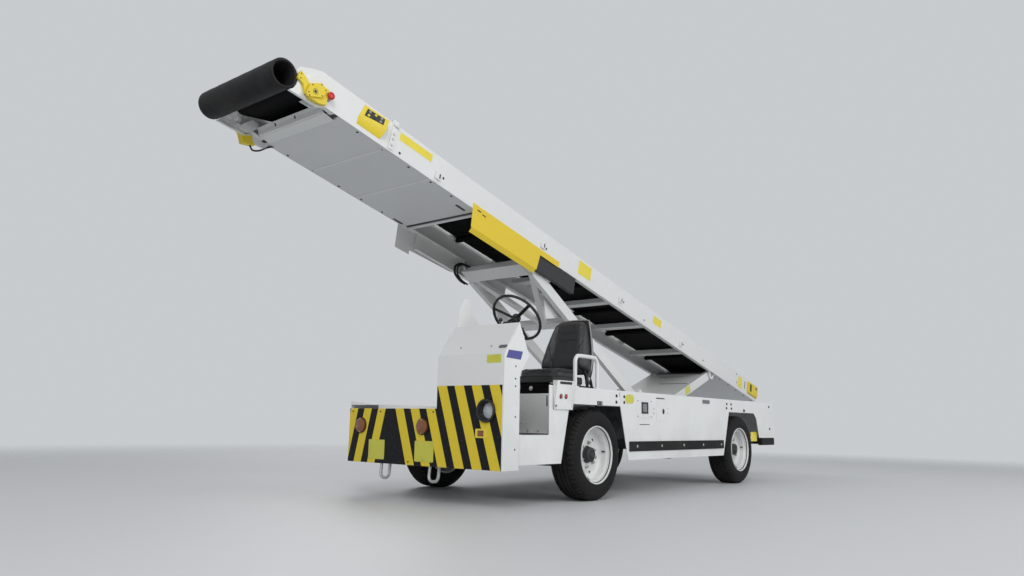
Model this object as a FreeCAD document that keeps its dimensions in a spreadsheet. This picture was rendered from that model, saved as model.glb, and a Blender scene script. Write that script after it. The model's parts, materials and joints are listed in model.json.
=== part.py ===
"""Self-propelled baggage belt loader: chassis, driver's station and lifting conveyor.

Axes: +X to the vehicle's left, -Y forward, +Z up, ground at Z = 0, millimetres and degrees.
Chassis parts are drawn from the front axle's centre line on the ground. Parts of the lift are
drawn lying level in a frame of their own, which FRAMES turns and moves to its pivot.
"""
import FreeCAD, Part
import math
import os
import re
import Sketcher

V = FreeCAD.Vector
doc = FreeCAD.newDocument("belt_loader")

SIZES = {
    # vehicle
    "half_width": 910, "front_axle_y": -1285, "wheel_base": 2760, "front_end": 1155,
    "rear_overhang": 964, "skirt_z": 294, "deck_z": 852, "bumper_z": 262, "nose_z": 668,
    "sill_z": 499, "panel_wall": 6, "seam": 2,
    # chassis frame
    "rail_x": 300, "rail_width": 80, "rail_height": 100, "cross_width": 90,
    "cross_inset": 20, "outrigger_width": 60, "outrigger_height": 60,
    "cross_front_y": 500, "outrigger_front_y": 560, "outrigger_mid_y": 1300,
    "outrigger_ahead": 520, "outrigger_behind": 640, "engine_front_y": 600,
    "engine_length": 730, "engine_in": 480, "engine_out": 110,
    # axles and wheels
    "axle_square": 80, "axle_tube_r": 45, "diff_r": 130, "pinion_r": 60, "pinion_reach": 240,
    "axle_pad": 100, "tyre_r": 345, "tyre_width": 230, "bead_r": 206, "rim_flange_r": 220,
    "rim_wall": 6, "flange_in": 14, "disc_inset": 105, "disc_wall": 12, "hub_r": 68,
    "hub_depth": 70, "cap_depth": 45, "cap_wall": 15, "stub_r": 28, "fit_gap": 0.05,
    # steering
    "kingpin_inset": 290, "kingpin_r": 18, "eye_r": 36, "eye_rise": 10, "ear_wall": 24,
    "ear_gap": 6, "knuckle_width": 90, "knuckle_web": 20, "steer_arm": 150,
    "steer_arm_width": 40, "tie_rod_r": 14,
    "wheel_hub_x": 540, "wheel_hub_y": -568, "wheel_hub_z": 1373, "steer_r": 188,
    "steer_rim_r": 13, "column_lean": 48, "column_r": 24, "column_length": 430,
    "spindle_r": 10, "spindle_length": 40,
    # driver's station
    "console_x": 291, "bumper_right_x": 655, "corner_back": 215, "crease_z": 1039,
    "hood_z": 1266, "hood_back": 160, "tip_back": 274, "tip_z": 1038, "tuck_back": 163,
    "tuck_z": 905, "side_back": 171, "fin_z": 1500, "fin_reach": 115, "fin_root": 270,
    "wing_end": 470, "kick_y": -430, "seat_deck_z": 800, "cab_rear_y": 340,
    "entry_rear_y": -641, "fender_right_z": 706, "step_y": 160,
    "cushion_width": 400, "cushion_length": 390, "cushion_height": 92, "cushion_z": 880,
    "cushion_front_y": -262, "back_height": 562, "back_wall": 95, "back_lean": 10,
    "seat_plate": 20, "guard_r": 16, "guard_inset": 30, "guard_front_y": -325,
    "guard_rear_y": -10, "guard_z": 1061, "guard_bend": 60,
    "loop_left_x": 275, "loop_right_x": -233, "loop_half": 46, "loop_z": 160,
    "loop_bar_r": 11, "loop_block": 28,
    # lamps and strips
    "head_x": 760, "head_z": 656, "bezel_r": 81, "bezel_out": 17, "cup_r": 64,
    "cup_wall": 3, "cup_depth": 45, "lens_depth": 30, "amber_left_x": 157,
    "amber_right_x": -514, "amber_z": 540, "amber_r": 60, "amber_depth": 22,
    "lamp_box_front": 597, "lamp_box_rear": 360, "lamp_box_z": 680,
    "lamp_box_height": 208, "lamp_box_foot": 10, "lamp_box_out": 40,
    "strip_z": 363, "strip_height": 81, "strip_wall": 10, "corner_block": 40,
    "corner_length": 353, "corner_height": 80,
    # openings in the side panels over the wheels, from each axle
    "arch_front_low": 491, "arch_front_high": 383, "arch_rear_high": 345,
    "arch_rear_low": 460, "arch_z": 725, "rear_arch_front_low": 427,
    "rear_arch_front_high": 268, "rear_arch_rear_high": 390, "rear_arch_bevel": 74,
    "rear_arch_rear_low": 531, "tail_z": 462,
    # inner walls of the bay that takes the lift
    "bay_left_x": 200, "bay_right_x": 735, "bay_floor_y": 420, "riser_y": 380,
    "fender_right_x": 570, "bay_lip": 142,
    # lift arms, placed from the rear axle
    "lift_x": -265, "rear_pivot_ahead": 280, "rear_pivot_z": 733, "rear_arm_length": 1402,
    "rear_arm_angle": 19.68, "front_pivot_ahead": 360, "front_pivot_z": 600,
    "front_arm_angle": 30.9, "arm_reach": 2650, "roller_rise": 47, "roller_drop": 59.8,
    "arm_half": 380, "arm_width": 50, "arm_depth": 100, "pivot_r": 25, "boss_r": 55,
    "tube_r": 45, "roller_r": 35, "roller_width": 22, "bracket_wall": 14, "side_gap": 8,
    "head_ahead": 55, "head_behind": 240, "head_beam": 150, "lower_beam_y": 1830,
    "beam_width": 80, "brace_width": 60, "brace_depth": 40, "arm_plate_start": 500,
    "arm_plate_end": 160, "arm_plate": 12,
    # lift cylinders
    "front_base_ahead": 1177, "front_base_z": 400, "front_eye_along": 519,
    "front_eye_rise": 69, "rear_base_behind": 265, "rear_base_z": 465,
    "rear_eye_along": 600, "rear_eye_drop": 100, "cylinder_x": 190, "barrel_r": 38,
    "rod_r": 20, "clevis_r": 30, "pin_r": 14, "cheek_in": 46, "cheek_out": 60,
    "cheek_back": 90, "cheek_beam": 150, "lug_half": 12, "lug_r": 25, "lug_reach": 95,
    "lug_tube_rise": 30, "lug_tube_r": 32, "front_fork_reach": 62, "front_stroke_in": 175,
    "rear_fork_reach": 33, "rear_stroke_in": 103, "fork_wall": 12, "fork_gap": 5,
    "fork_base": 14,
    # conveyor, placed from its pin
    "conveyor_half": 435, "frame_gap": 15, "frame_depth": 220, "web_wall": 6,
    "flange": 50, "nose_reach": 6420, "tail_reach": 1370, "nose_slope": 180,
    "nose_slope_drop": 71, "nose_tube_ahead": 72, "nose_tube_z": 52, "nose_tube_r": 100,
    "nose_tube_wall": 20, "belt_half": 375, "belt_wall": 8, "pulley_r": 55,
    "front_pulley_in": 120, "rear_pulley_in": 100, "pulley_z": 145, "return_z": 170,
    "snub_run": 260, "pulley_shaft_r": 16, "tie_z": 100, "tie_height": 50,
    "tie_width": 80, "pan_wall": 4, "pan_seam": 1.5, "front_tie_in": 330,
    "front_tie_width": 70, "front_tie_height": 60, "pan_second": 825, "pan_third": 1294,
    "pan_end": 1857, "tail_pan_y": 150, "track_ahead": 665, "track_behind": 635,
    "track_drop": 155, "track_wall": 6, "track_web": 10, "guard_ahead": 867, "guard_behind": 49,
    "guard_tail": 338, "guard_wall": 4, "guard_drop": 159, "guard_lip": 38,
    "guard_rise": 43, "guard_fold": 18,
    "panel_front": 535, "panel_rear": 760, "panel_out": 60, "panel_low": 41,
    "panel_ridge": 104, "panel_shoulder": 186, "panel_top": 219,
}
TIES = {"tie_a": 920, "tie_b": 1920, "tie_c": 3420, "tie_d": 4120, "tie_e": 4856,
        "tie_f": 5815, "tie_g": 6840, "tie_h": 7320}
SIZES.update(TIES)

sheet = doc.addObject("Spreadsheet::Sheet", "Sizes")
for row, (alias, number) in enumerate(SIZES.items(), start=1):
    sheet.set("A%d" % row, alias)
    sheet.set("B%d" % row, str(number))
    sheet.setAlias("B%d" % row, alias)
doc.recompute()


# ---------------------------------------------------------------- helpers

def bound(text):
    """An expression with each size's name turned into its cell."""
    def cell(match):
        word = match.group()
        return "Sizes." + word if word in SIZES else word
    return re.sub(r"[a-z][a-z0-9_]*", cell, str(text))


def size(name):
    return float(getattr(sheet, name))


def bind(item, **values):
    for prop, text in values.items():
        item.setExpression(prop.replace("__", "."), bound(text))
    return item


def box(x0, x1, y0, y1, z0, z1):
    item = doc.addObject("Part::Box", "Box")
    bind(item, Length="(%s) - (%s)" % (x1, x0), Width="(%s) - (%s)" % (y1, y0),
         Height="(%s) - (%s)" % (z1, z0), Placement__Base__x=x0, Placement__Base__y=y0,
         Placement__Base__z=z0)
    return item


def rod(axis, radius, start, end, u, v):
    """A cylinder along X, Y or Z from start to end; u and v are its other two coordinates."""
    item = doc.addObject("Part::Cylinder", "Rod")
    turn = {"x": (V(0, 1, 0), 90), "y": (V(1, 0, 0), -90), "z": (V(0, 0, 1), 0)}[axis]
    item.Placement = FreeCAD.Placement(V(), FreeCAD.Rotation(*turn))
    spot = {"x": (start, u, v), "y": (u, start, v), "z": (u, v, start)}[axis]
    bind(item, Radius=radius, Height="(%s) - (%s)" % (end, start), Placement__Base__x=spot[0],
         Placement__Base__y=spot[1], Placement__Base__z=spot[2])
    return item


def outline(plane, points, offset):
    """A body with a closed sketch through points on one of its origin planes."""
    body = doc.addObject("PartDesign::Body", "Body")
    sketch = body.newObject("Sketcher::SketchObject", "Outline")
    role = {"xy": "XY_Plane", "xz": "XZ_Plane", "yz": "YZ_Plane"}[plane]
    face = [f for f in body.Origin.OriginFeatures if f.Role == role][0]
    sketch.AttachmentSupport = [(face, "")]
    sketch.MapMode = "FlatFace"
    sketch.setExpression("AttachmentOffset.Base.z", bound(offset))
    count = len(points)
    start = [V(10 * math.cos(math.tau * i / count), 10 * math.sin(math.tau * i / count), 0)
             for i in range(count)]
    for i in range(count):
        sketch.addGeometry(Part.LineSegment(start[i], start[(i + 1) % count]), False)
    for i in range(count):
        sketch.addConstraint(Sketcher.Constraint("Coincident", i, 2, (i + 1) % count, 1))
    for i, (across, up) in enumerate(points):
        for kind, axis, text, value in (("DistanceX", -2, across, start[i].x),
                                        ("DistanceY", -1, up, start[i].y)):
            if str(text) == "0":
                sketch.addConstraint(Sketcher.Constraint("PointOnObject", i, 1, axis))
                continue
            number = sketch.addConstraint(Sketcher.Constraint(kind, -1, 1, i, 1, value))
            sketch.setExpression("Constraints[%d]" % number, bound(text))
    return body, sketch


def plate(plane, points, offset, wall):
    """A flat sheet: the outline's plane is its lower-coordinate side (XZ: its front side)."""
    body, sketch = outline(plane, points, offset)
    pad = body.newObject("PartDesign::Pad", "Pad")
    pad.Profile = sketch
    bind(pad, Length=wall)
    body.Tip = pad
    return body


def turned(points):
    """A ring or disc: points are (place along X, radius) and turn about the X axis."""
    body, sketch = outline("xz", points, "0")
    revolution = body.newObject("PartDesign::Revolution", "Revolution")
    revolution.Profile = sketch
    revolution.ReferenceAxis = (sketch, ["H_Axis"])
    revolution.Angle = 360
    body.Tip = revolution
    return body


def fuse(*items):
    item = doc.addObject("Part::MultiFuse", "Union")
    item.Shapes = list(items)
    item.Refine = True
    return item


def cut(base, tool):
    item = doc.addObject("Part::Cut", "Cut")
    item.Base = base
    item.Tool = tool
    return item


def mirrored(base):
    item = doc.addObject("Part::Mirroring", "Mirror")
    item.Source = base
    item.Normal = V(1, 0, 0)
    return item


def both(base):
    return [base, mirrored(base)]


def bar(radius, bend, points):
    """A round bar along points, with each corner bent to the radius bend."""
    edges = []
    last = points[0]
    for i in range(1, len(points) - 1):
        before = (points[i - 1] - points[i]).normalize()
        after = (points[i + 1] - points[i]).normalize()
        half = before.getAngle(after) / 2
        tangent = bend / math.tan(half)
        enter = points[i] + before * tangent
        leave = points[i] + after * tangent
        middle = (before + after).normalize()
        reach = (bend ** 2 + tangent ** 2) ** 0.5 - bend
        edges.append(Part.LineSegment(last, enter).toShape())
        edges.append(Part.Arc(enter, points[i] + middle * reach, leave).toShape())
        last = leave
    edges.append(Part.LineSegment(last, points[-1]).toShape())
    path = Part.Wire(edges)
    ring = Part.Wire(Part.Circle(points[0], points[1] - points[0], radius).toShape())
    item = doc.addObject("Part::Feature", "Bar")
    item.Shape = path.makePipeShell([ring], True, True)
    return item


REAR_END = "(wheel_base + rear_overhang)"
KINGPIN = "(half_width - kingpin_inset)"
REAR_PIVOT = "(wheel_base - rear_pivot_ahead)"
FRONT_PIVOT = "(wheel_base - front_pivot_ahead)"
FRONT_BASE = "(wheel_base - front_base_ahead)"
REAR_BASE = "(wheel_base + rear_base_behind)"
PIN_Y = "(%s + rear_arm_length * cos(rear_arm_angle))" % REAR_PIVOT
PIN_Z = "(rear_pivot_z + rear_arm_length * sin(rear_arm_angle))"


def on_front_arm(along, rise):
    """Y and Z of a point given along the front arm's beam and square to it."""
    return ("(%s - %s * cos(front_arm_angle) + %s * sin(front_arm_angle))"
            % (FRONT_PIVOT, along, rise),
            "(front_pivot_z + %s * sin(front_arm_angle) + %s * cos(front_arm_angle))"
            % (along, rise))


def length(run, rise):
    return "sqrt((%s) ^ 2 + (%s) ^ 2)" % (run, rise)


FRONT_EYE_Y, FRONT_EYE_Z = on_front_arm("front_eye_along", "front_eye_rise")
REAR_EYE_Y = ("(%s + rear_eye_along * cos(rear_arm_angle)"
              " + rear_eye_drop * sin(rear_arm_angle))" % REAR_PIVOT)
REAR_EYE_Z = ("(rear_pivot_z + rear_eye_along * sin(rear_arm_angle)"
              " - rear_eye_drop * cos(rear_arm_angle))")
FRONT_RUN = "(%s - %s)" % (FRONT_EYE_Y, FRONT_BASE)
FRONT_RISE = "(%s - front_base_z)" % FRONT_EYE_Z
REAR_RUN = "(%s - %s)" % (REAR_EYE_Y, REAR_BASE)
REAR_RISE = "(%s - rear_base_z)" % REAR_EYE_Z

# the conveyor leans so that the front arm's rollers lie roller_drop under its frame's datum
ROLLER_Y, ROLLER_Z = on_front_arm("arm_reach", "roller_rise")
ROLLER_RUN = "(%s - %s)" % (PIN_Y, ROLLER_Y)
ROLLER_RISE = "(%s - %s)" % (ROLLER_Z, PIN_Z)
ROLLER_SPAN = length(ROLLER_RUN, ROLLER_RISE)
INCLINE = "(atan2(%s; %s) + asin(roller_drop / %s))" % (ROLLER_RISE, ROLLER_RUN, ROLLER_SPAN)
ON_TRACK = "(-sqrt(%s ^ 2 - roller_drop ^ 2))" % ROLLER_SPAN

# each frame: X, Y from the front axle, Z, and its turn about X
FRAMES = {
    "chassis": ("0", "0", "0", "0"),
    "conveyor": ("lift_x", PIN_Y, PIN_Z, "-" + INCLINE),
    "front_arm": ("lift_x", FRONT_PIVOT, "front_pivot_z", "-front_arm_angle"),
    "rear_arm": ("lift_x", REAR_PIVOT, "rear_pivot_z", "rear_arm_angle"),
    "front_cylinder": ("lift_x", FRONT_BASE, "front_base_z",
                       "atan2(%s; %s)" % (FRONT_RISE, FRONT_RUN)),
    "rear_cylinder": ("lift_x", REAR_BASE, "rear_base_z",
                      "atan2(%s; %s)" % (REAR_RISE, REAR_RUN)),
    "front_wheel": ("0", "0", "tyre_r", "0"),
    "rear_wheel": ("0", "wheel_base", "tyre_r", "0"),
}
nodes = []


def node(label, frame, *items):
    """One named sub-part: its solids together, moved from its frame to its place."""
    item = doc.addObject("Part::Compound", "Node")
    item.Label = label
    item.Links = list(items)
    x, y, z, turn = FRAMES[frame]
    item.Placement = FreeCAD.Placement(V(), FreeCAD.Rotation(V(1, 0, 0), 1))
    bind(item, Placement__Base__x=x, Placement__Base__y="front_axle_y + " + y,
         Placement__Base__z=z, Placement__Rotation__Angle="(%s) * 1" % turn)
    nodes.append(item)
    return item


# ---------------------------------------------------------------- chassis frame and axles

WALL_IN = "(half_width - panel_wall)"
RAIL_TOP = "(sill_z - panel_wall)"
RAIL_LOW = "(sill_z - panel_wall - rail_height)"
CROSS_LOW = "(sill_z - panel_wall - rail_height + cross_inset)"
CROSS_TOP = "(sill_z - panel_wall - cross_inset)"
FRONT_FACE = "(panel_wall - front_end)"


def chassis_frame():
    """Two box rails with cross members between them and outriggers to the side panels."""
    node("chassis_rails", "chassis", *both(
        box("rail_x", "rail_x + rail_width", FRONT_FACE, REAR_END + " - panel_wall", RAIL_LOW,
            RAIL_TOP)))
    parts = [box("-rail_x", "rail_x", y, y + " + cross_width", CROSS_LOW, CROSS_TOP)
             for y in (FRONT_FACE, "cross_front_y", REAR_PIVOT + " + boss_r + side_gap",
                       REAR_END + " - panel_wall - cross_width")]
    for y, reach in (("outrigger_front_y", WALL_IN), ("outrigger_mid_y", WALL_IN),
                     ("wheel_base - outrigger_ahead", WALL_IN),
                     ("wheel_base + outrigger_behind", "(%s - corner_block)" % WALL_IN)):
        parts += both(box("rail_x + rail_width", reach, y, y + " + outrigger_width", RAIL_LOW,
                          RAIL_LOW + " + outrigger_height"))
    node("cross_members", "chassis", *parts)


def lift_brackets():
    """Bored uprights for the arms' pivots and pairs of cheeks for the cylinders' lower pins."""
    solids = []
    for side in (-1, 1):
        inner = "lift_x + %d * (arm_half + side_gap)" % side
        outer = "lift_x + %d * (arm_half + side_gap + bracket_wall)" % side
        low, high = (outer, inner) if side < 0 else (inner, outer)
        rail = "-rail_x - rail_width" if side < 0 else "rail_x"
        upright = fuse(box(low, high, FRONT_PIVOT + " - boss_r", REAR_PIVOT + " + boss_r",
                           RAIL_LOW, "rear_pivot_z + boss_r"),
                       box(low, rail, FRONT_PIVOT, FRONT_PIVOT + " + 60", CROSS_LOW, CROSS_TOP))
        for y, z in ((FRONT_PIVOT, "front_pivot_z"), (REAR_PIVOT, "rear_pivot_z")):
            upright = cut(upright, rod("x", "pivot_r + fit_gap", "(%s) - 1" % low,
                                       "(%s) + 1" % high, y, z))
        solids.append(upright)
    for base, z, low, high in ((FRONT_BASE, "front_base_z", "front_base_z - clevis_r", CROSS_TOP),
                               (REAR_BASE, "rear_base_z", CROSS_LOW, "rear_base_z + clevis_r")):
        for side in (-1, 1):
            middle = "lift_x + %d * cylinder_x" % side
            left, right = (("%s - cheek_out - 4" % middle, "-rail_x - rail_width")
                           if side < 0 else ("-rail_x", "rail_x"))
            cheeks = [box(left, right, base + " - cheek_beam", base + " - cheek_back + 30",
                          CROSS_LOW, CROSS_TOP)]
            for x0, x1 in (("cheek_in", "cheek_out"), ("-cheek_out", "-cheek_in")):
                cheeks.append(box("%s + %s" % (middle, x0), "%s + %s" % (middle, x1),
                                  base + " - cheek_back", base + " + clevis_r", low, high))
            bore = rod("x", "pin_r + fit_gap", middle + " - cheek_out - 1",
                       middle + " + cheek_out + 1", base, z)
            solids.append(cut(fuse(*cheeks), bore))
    node("lift_brackets", "chassis", *solids)


def front_axle():
    """Square beam between two kingpin eyes, with the pads that the rails rest on."""
    height = "tyre_r"
    beam = fuse(box("-" + KINGPIN, KINGPIN, "-axle_square / 2", "axle_square / 2",
                    height + " - axle_square / 2", height + " + axle_square / 2"),
                *both(rod("z", "eye_r", height + " - axle_square / 2 - eye_rise",
                          height + " + axle_square / 2 + eye_rise", KINGPIN, "0")),
                *both(box("rail_x", "rail_x + rail_width", "-axle_square / 2",
                          "axle_square / 2", height, RAIL_LOW)))
    holes = fuse(*both(rod("z", "kingpin_r + fit_gap", "0", "2 * tyre_r", KINGPIN, "0")))
    node("front_axle", "chassis", cut(beam, holes))


def rear_axle():
    """Tube with its gear housing, spring pads and the stub ends that carry the wheels."""
    hub_in = "(half_width - disc_inset - hub_depth)"
    stub_end = "(half_width - disc_inset + cap_depth - cap_wall - ear_gap)"
    node("rear_axle", "chassis", fuse(
        rod("x", "axle_tube_r", "side_gap - " + hub_in, hub_in + " - side_gap", "wheel_base",
            "tyre_r"),
        rod("x", "stub_r", "-" + stub_end, stub_end, "wheel_base", "tyre_r"),
        rod("x", "diff_r", "-90", "90", "wheel_base", "tyre_r"),
        rod("y", "pinion_r", "wheel_base - pinion_reach", "wheel_base", "0", "tyre_r"),
        *both(box("rail_x", "rail_x + rail_width", "wheel_base - axle_pad / 2",
                  "wheel_base + axle_pad / 2", "tyre_r", RAIL_LOW))))


def engine_block():
    """The engine, one plain block on the left outriggers behind the driver."""
    node("engine_block", "chassis", box(
        "half_width - engine_in", "half_width - engine_out", "engine_front_y",
        "engine_front_y + engine_length", RAIL_LOW + " + outrigger_height", "deck_z - 60"))


# ---------------------------------------------------------------- driver's station and body

def front_panel():
    """Flat front sheet, high over the console and low under the belt, with a folded corner."""
    face = plate("xz", [("-bumper_right_x", "bumper_z"), ("half_width", "bumper_z"),
                        ("half_width", "crease_z"), ("console_x", "crease_z"),
                        ("console_x", "nose_z"), ("-bumper_right_x", "nose_z")],
                 "front_end - panel_wall", "panel_wall")
    corner = plate("xy", [("-bumper_right_x", "-front_end"),
                          ("-half_width", "corner_back - front_end"),
                          ("-half_width + panel_wall * 1.4", "corner_back - front_end"),
                          ("-bumper_right_x", "panel_wall * 1.2 - front_end")],
                   "bumper_z", "nose_z - bumper_z")
    hole = rod("y", "cup_r + cup_wall", "-front_end - 1", FRONT_FACE + " + 1", "head_x", "head_z")
    node("front_panel", "chassis", cut(fuse(face, corner), hole))


def console():
    """Bent hood sheet between a left side plate and an inner wall that ends in a fin."""
    top_y = "(hood_back - front_end)"
    tip_y = "(tip_back - front_end)"
    tuck_y = "(tuck_back - front_end)"
    wall = "panel_wall"
    hood = plate("yz", [("-front_end", "crease_z"), (top_y, "hood_z"), (tip_y, "tip_z"),
                        (tuck_y, "tuck_z"), (tuck_y + " - 1.4 * " + wall, "tuck_z + " + wall),
                        (tip_y + " - 1.4 * " + wall, "tip_z"),
                        (top_y, "hood_z - 2.2 * " + wall), (FRONT_FACE, "crease_z")],
                 "console_x + " + wall, WALL_IN + " - console_x - " + wall)
    side_y = "(side_back - front_end)"
    side = plate("yz", [(FRONT_FACE, "bumper_z"), (side_y, "bumper_z"), (side_y, "tuck_z"),
                        (tip_y, "tip_z"), (top_y, "hood_z"), (FRONT_FACE, "crease_z")],
                 WALL_IN, wall)
    inner = plate("yz", [(FRONT_FACE, RAIL_TOP), (FRONT_FACE, "crease_z"),
                         (top_y + " - 25", "hood_z - 34"), (top_y + " + 30", "hood_z - 20"),
                         (top_y + " + 42", "hood_z + 110"),
                         (top_y + " + fin_reach - 23", "fin_z - 12"),
                         (top_y + " + fin_reach", "fin_z"),
                         (top_y + " + fin_reach + 15", "fin_z - 14"),
                         (top_y + " + fin_reach + 50", "fin_z - 118"),
                         (top_y + " + fin_root", "fin_z - 235"),
                         (top_y + " + wing_end - 70", "deck_z + 90"),
                         (top_y + " + wing_end", "deck_z"),
                         ("cab_rear_y", "deck_z"), ("cab_rear_y", RAIL_TOP)], "console_x", wall)
    node("console_hood", "chassis", hood)
    node("console_sides", "chassis", side, inner)


def driver_tub():
    """Floor, kick panel and seat deck of the driver's station, one folded sheet."""
    left = "console_x + panel_wall"
    wall = "panel_wall"
    floor = box(left, WALL_IN, FRONT_FACE, "kick_y", RAIL_TOP, "sill_z")
    kick = box(left, WALL_IN, "kick_y - " + wall, "kick_y", RAIL_TOP, "seat_deck_z")
    deck = box(left, WALL_IN, "kick_y - " + wall, "cab_rear_y", "seat_deck_z - " + wall,
               "seat_deck_z")
    node("driver_tub", "chassis", fuse(floor, kick, deck))


def side_panels():
    """Left front panel with the step-in, left main panel and right panel, all cut for wheels."""
    wall = "panel_wall"
    tail = [("wheel_base - rear_arch_front_low", "skirt_z"),
            ("wheel_base - rear_arch_front_high", "arch_z"),
            ("wheel_base + rear_arch_rear_high", "arch_z"),
            ("wheel_base + rear_arch_rear_high + rear_arch_bevel", "arch_z - 60"),
            ("wheel_base + rear_arch_rear_low", "tail_z"), (REAR_END, "tail_z"),
            (REAR_END, "deck_z")]
    front = plate("yz", [("side_back - front_end + seam", "skirt_z"),
                         ("-arch_front_low", "skirt_z"), ("-arch_front_high", "arch_z"),
                         ("cab_rear_y", "arch_z"), ("cab_rear_y", "deck_z"),
                         ("entry_rear_y", "deck_z"), ("entry_rear_y", "sill_z"),
                         ("side_back - front_end + seam", "sill_z")], WALL_IN, wall)
    main = plate("yz", [("cab_rear_y + seam", "deck_z"), ("cab_rear_y + seam", "arch_z"),
                        ("arch_rear_low", "skirt_z")] + tail, WALL_IN, wall)
    right = plate("yz", [("cab_rear_y + step_y", "deck_z"),
                         ("cab_rear_y + step_y", "fender_right_z"),
                         ("-600", "fender_right_z"), ("corner_back - front_end", "nose_z + 66"),
                         ("corner_back - front_end", "bumper_z"),
                         ("corner_back - front_end + 40", "skirt_z"),
                         ("-arch_front_low", "skirt_z"),
                         ("-arch_front_high", "fender_right_z - 12"),
                         ("arch_rear_high", "fender_right_z - 12"), ("arch_rear_low", "skirt_z")]
                  + tail, "-half_width", wall)
    node("side_panels", "chassis", front, main, right)


def side_decks():
    """Flat tops beside the lift's bay, and the lower fender over the right front wheel."""
    under = "deck_z - panel_wall"
    rear = REAR_END + " - panel_wall"
    step = "cab_rear_y + step_y"
    node("side_decks", "chassis",
         box("bay_left_x", WALL_IN, "cab_rear_y + seam", rear, under, "deck_z"),
         box("-" + WALL_IN, "-bay_right_x", step, rear, under, "deck_z"),
         box("-" + WALL_IN, "-fender_right_x", "corner_back - front_end", step + " - seam",
             "fender_right_z - panel_wall", "fender_right_z"))


def deck_walls():
    """Upright sheets under the decks: the bay's left wall, its right lip and the fender's."""
    wall = "panel_wall"
    under = "deck_z - panel_wall"
    rear = REAR_END + " - panel_wall"
    front = "cab_rear_y + seam"
    step = "cab_rear_y + step_y"
    left = fuse(box("bay_left_x", "bay_left_x + " + wall, front, rear, CROSS_TOP, under),
                box("bay_left_x", "console_x + " + wall, front, front + " + " + wall, RAIL_TOP,
                    under),
                box("console_x", WALL_IN, front, front + " + " + wall, "arch_z", under))
    right = box("-bay_right_x", "-bay_right_x + " + wall, step, rear, "deck_z - bay_lip", "deck_z")
    fender = box("-fender_right_x", "-fender_right_x + " + wall, "corner_back - front_end",
                 step + " - seam", "nose_z", "fender_right_z")
    node("deck_walls", "chassis", left, right, fender)


def bay_floor():
    """Low front deck, and the plate between the rails behind it."""
    wall = "panel_wall"
    left = "console_x - seam"
    side = "bay_left_x - seam"
    right = "-fender_right_x"
    slope = "corner_back / (half_width - bumper_right_x)"
    low = plate("xy", [(left, FRONT_FACE), (left, "cab_rear_y"), (side, "cab_rear_y"),
                       (side, "riser_y"), (right, "riser_y"),
                       (right, FRONT_FACE)], "nose_z - " + wall, wall)
    corner = plate("xy", [(right, FRONT_FACE), (right, "corner_back - front_end"),
                          ("-half_width + 10", "corner_back - front_end"),
                          ("-bumper_right_x - 60", "60 * %s - front_end + 8" % slope),
                          ("-bumper_right_x", FRONT_FACE + " + 2")], "nose_z - " + wall, wall)
    floor = box("-bay_right_x + seam", side, "bay_floor_y", FRONT_BASE + " - cheek_beam - 5",
                RAIL_TOP, RAIL_TOP + " + " + wall)
    node("bay_floor", "chassis", fuse(low, corner), floor)
    under = "nose_z - " + wall
    node("deck_supports", "chassis",
         box(right, side, "riser_y - " + wall, "riser_y", RAIL_TOP, under),
         box("-rail_x - rail_width", "-rail_x", FRONT_FACE, FRONT_FACE + " + 60", RAIL_TOP,
             under),
         box("rail_x - 60", left, FRONT_FACE, FRONT_FACE + " + 60", CROSS_TOP, under))


def rear_panel():
    node("rear_panel", "chassis", box("-" + WALL_IN, WALL_IN, REAR_END + " - panel_wall",
                                      REAR_END, "tail_z", "deck_z"))


def rubber_strips():
    """Rubber rubbing strips on both sides and the rear corner blocks."""
    strip = box("half_width", "half_width + strip_wall", "arch_rear_low + 14",
                "wheel_base - rear_arch_front_low - 6", "strip_z", "strip_z + strip_height")
    block = box(WALL_IN + " - corner_block", "half_width", REAR_END + " - 9 - corner_length",
                REAR_END + " - 9", "tail_z - corner_height", "tail_z")
    node("rubber_strips", "chassis", *both(strip), *both(block))


def seat():
    """Cushion, back and black suspension base, centred on the steering wheel."""
    left = "wheel_hub_x - cushion_width / 2"
    right = "wheel_hub_x + cushion_width / 2"
    front = "cushion_front_y"
    rear = "(cushion_front_y + cushion_length)"
    plate_z = "cushion_z - seat_plate"
    node("seat_base", "chassis", fuse(
        box(left + " + 30", right + " - 30", front + " + 20", rear + " - 10", "seat_deck_z",
            plate_z),
        box(left + " + 10", right + " - 10", front + " + 10", rear + " + back_wall", plate_z,
            "cushion_z - 1")))
    node("seat_cushion", "chassis", box(left, right, front, rear, "cushion_z",
                                        "cushion_z + cushion_height"))
    lean = "back_height * tan(back_lean)"
    top = "cushion_z + back_height"
    face = rear + " + seam"
    node("seat_back", "chassis", plate("yz", [
        (face, "cushion_z"), ("%s + %s" % (face, lean), top),
        ("%s + %s + 0.6 * back_wall" % (face, lean), top),
        (face + " + back_wall", "cushion_z + 40"), (face + " + back_wall", "cushion_z")],
        left, "cushion_width"))


def guard_bar():
    """Bent tube beside the seat, standing on the side panel's top edge."""
    x = size("half_width") - size("guard_inset")
    front, rear, top = size("guard_front_y"), size("guard_rear_y"), size("guard_z")
    foot = size("seat_deck_z")
    r = size("guard_r")
    hoop = bar(r, size("guard_bend"), [V(x, front, foot), V(x, front, top - r),
                                       V(x, rear, top - r), V(x, rear, foot)])
    node("guard_bar", "chassis", hoop)


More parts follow.
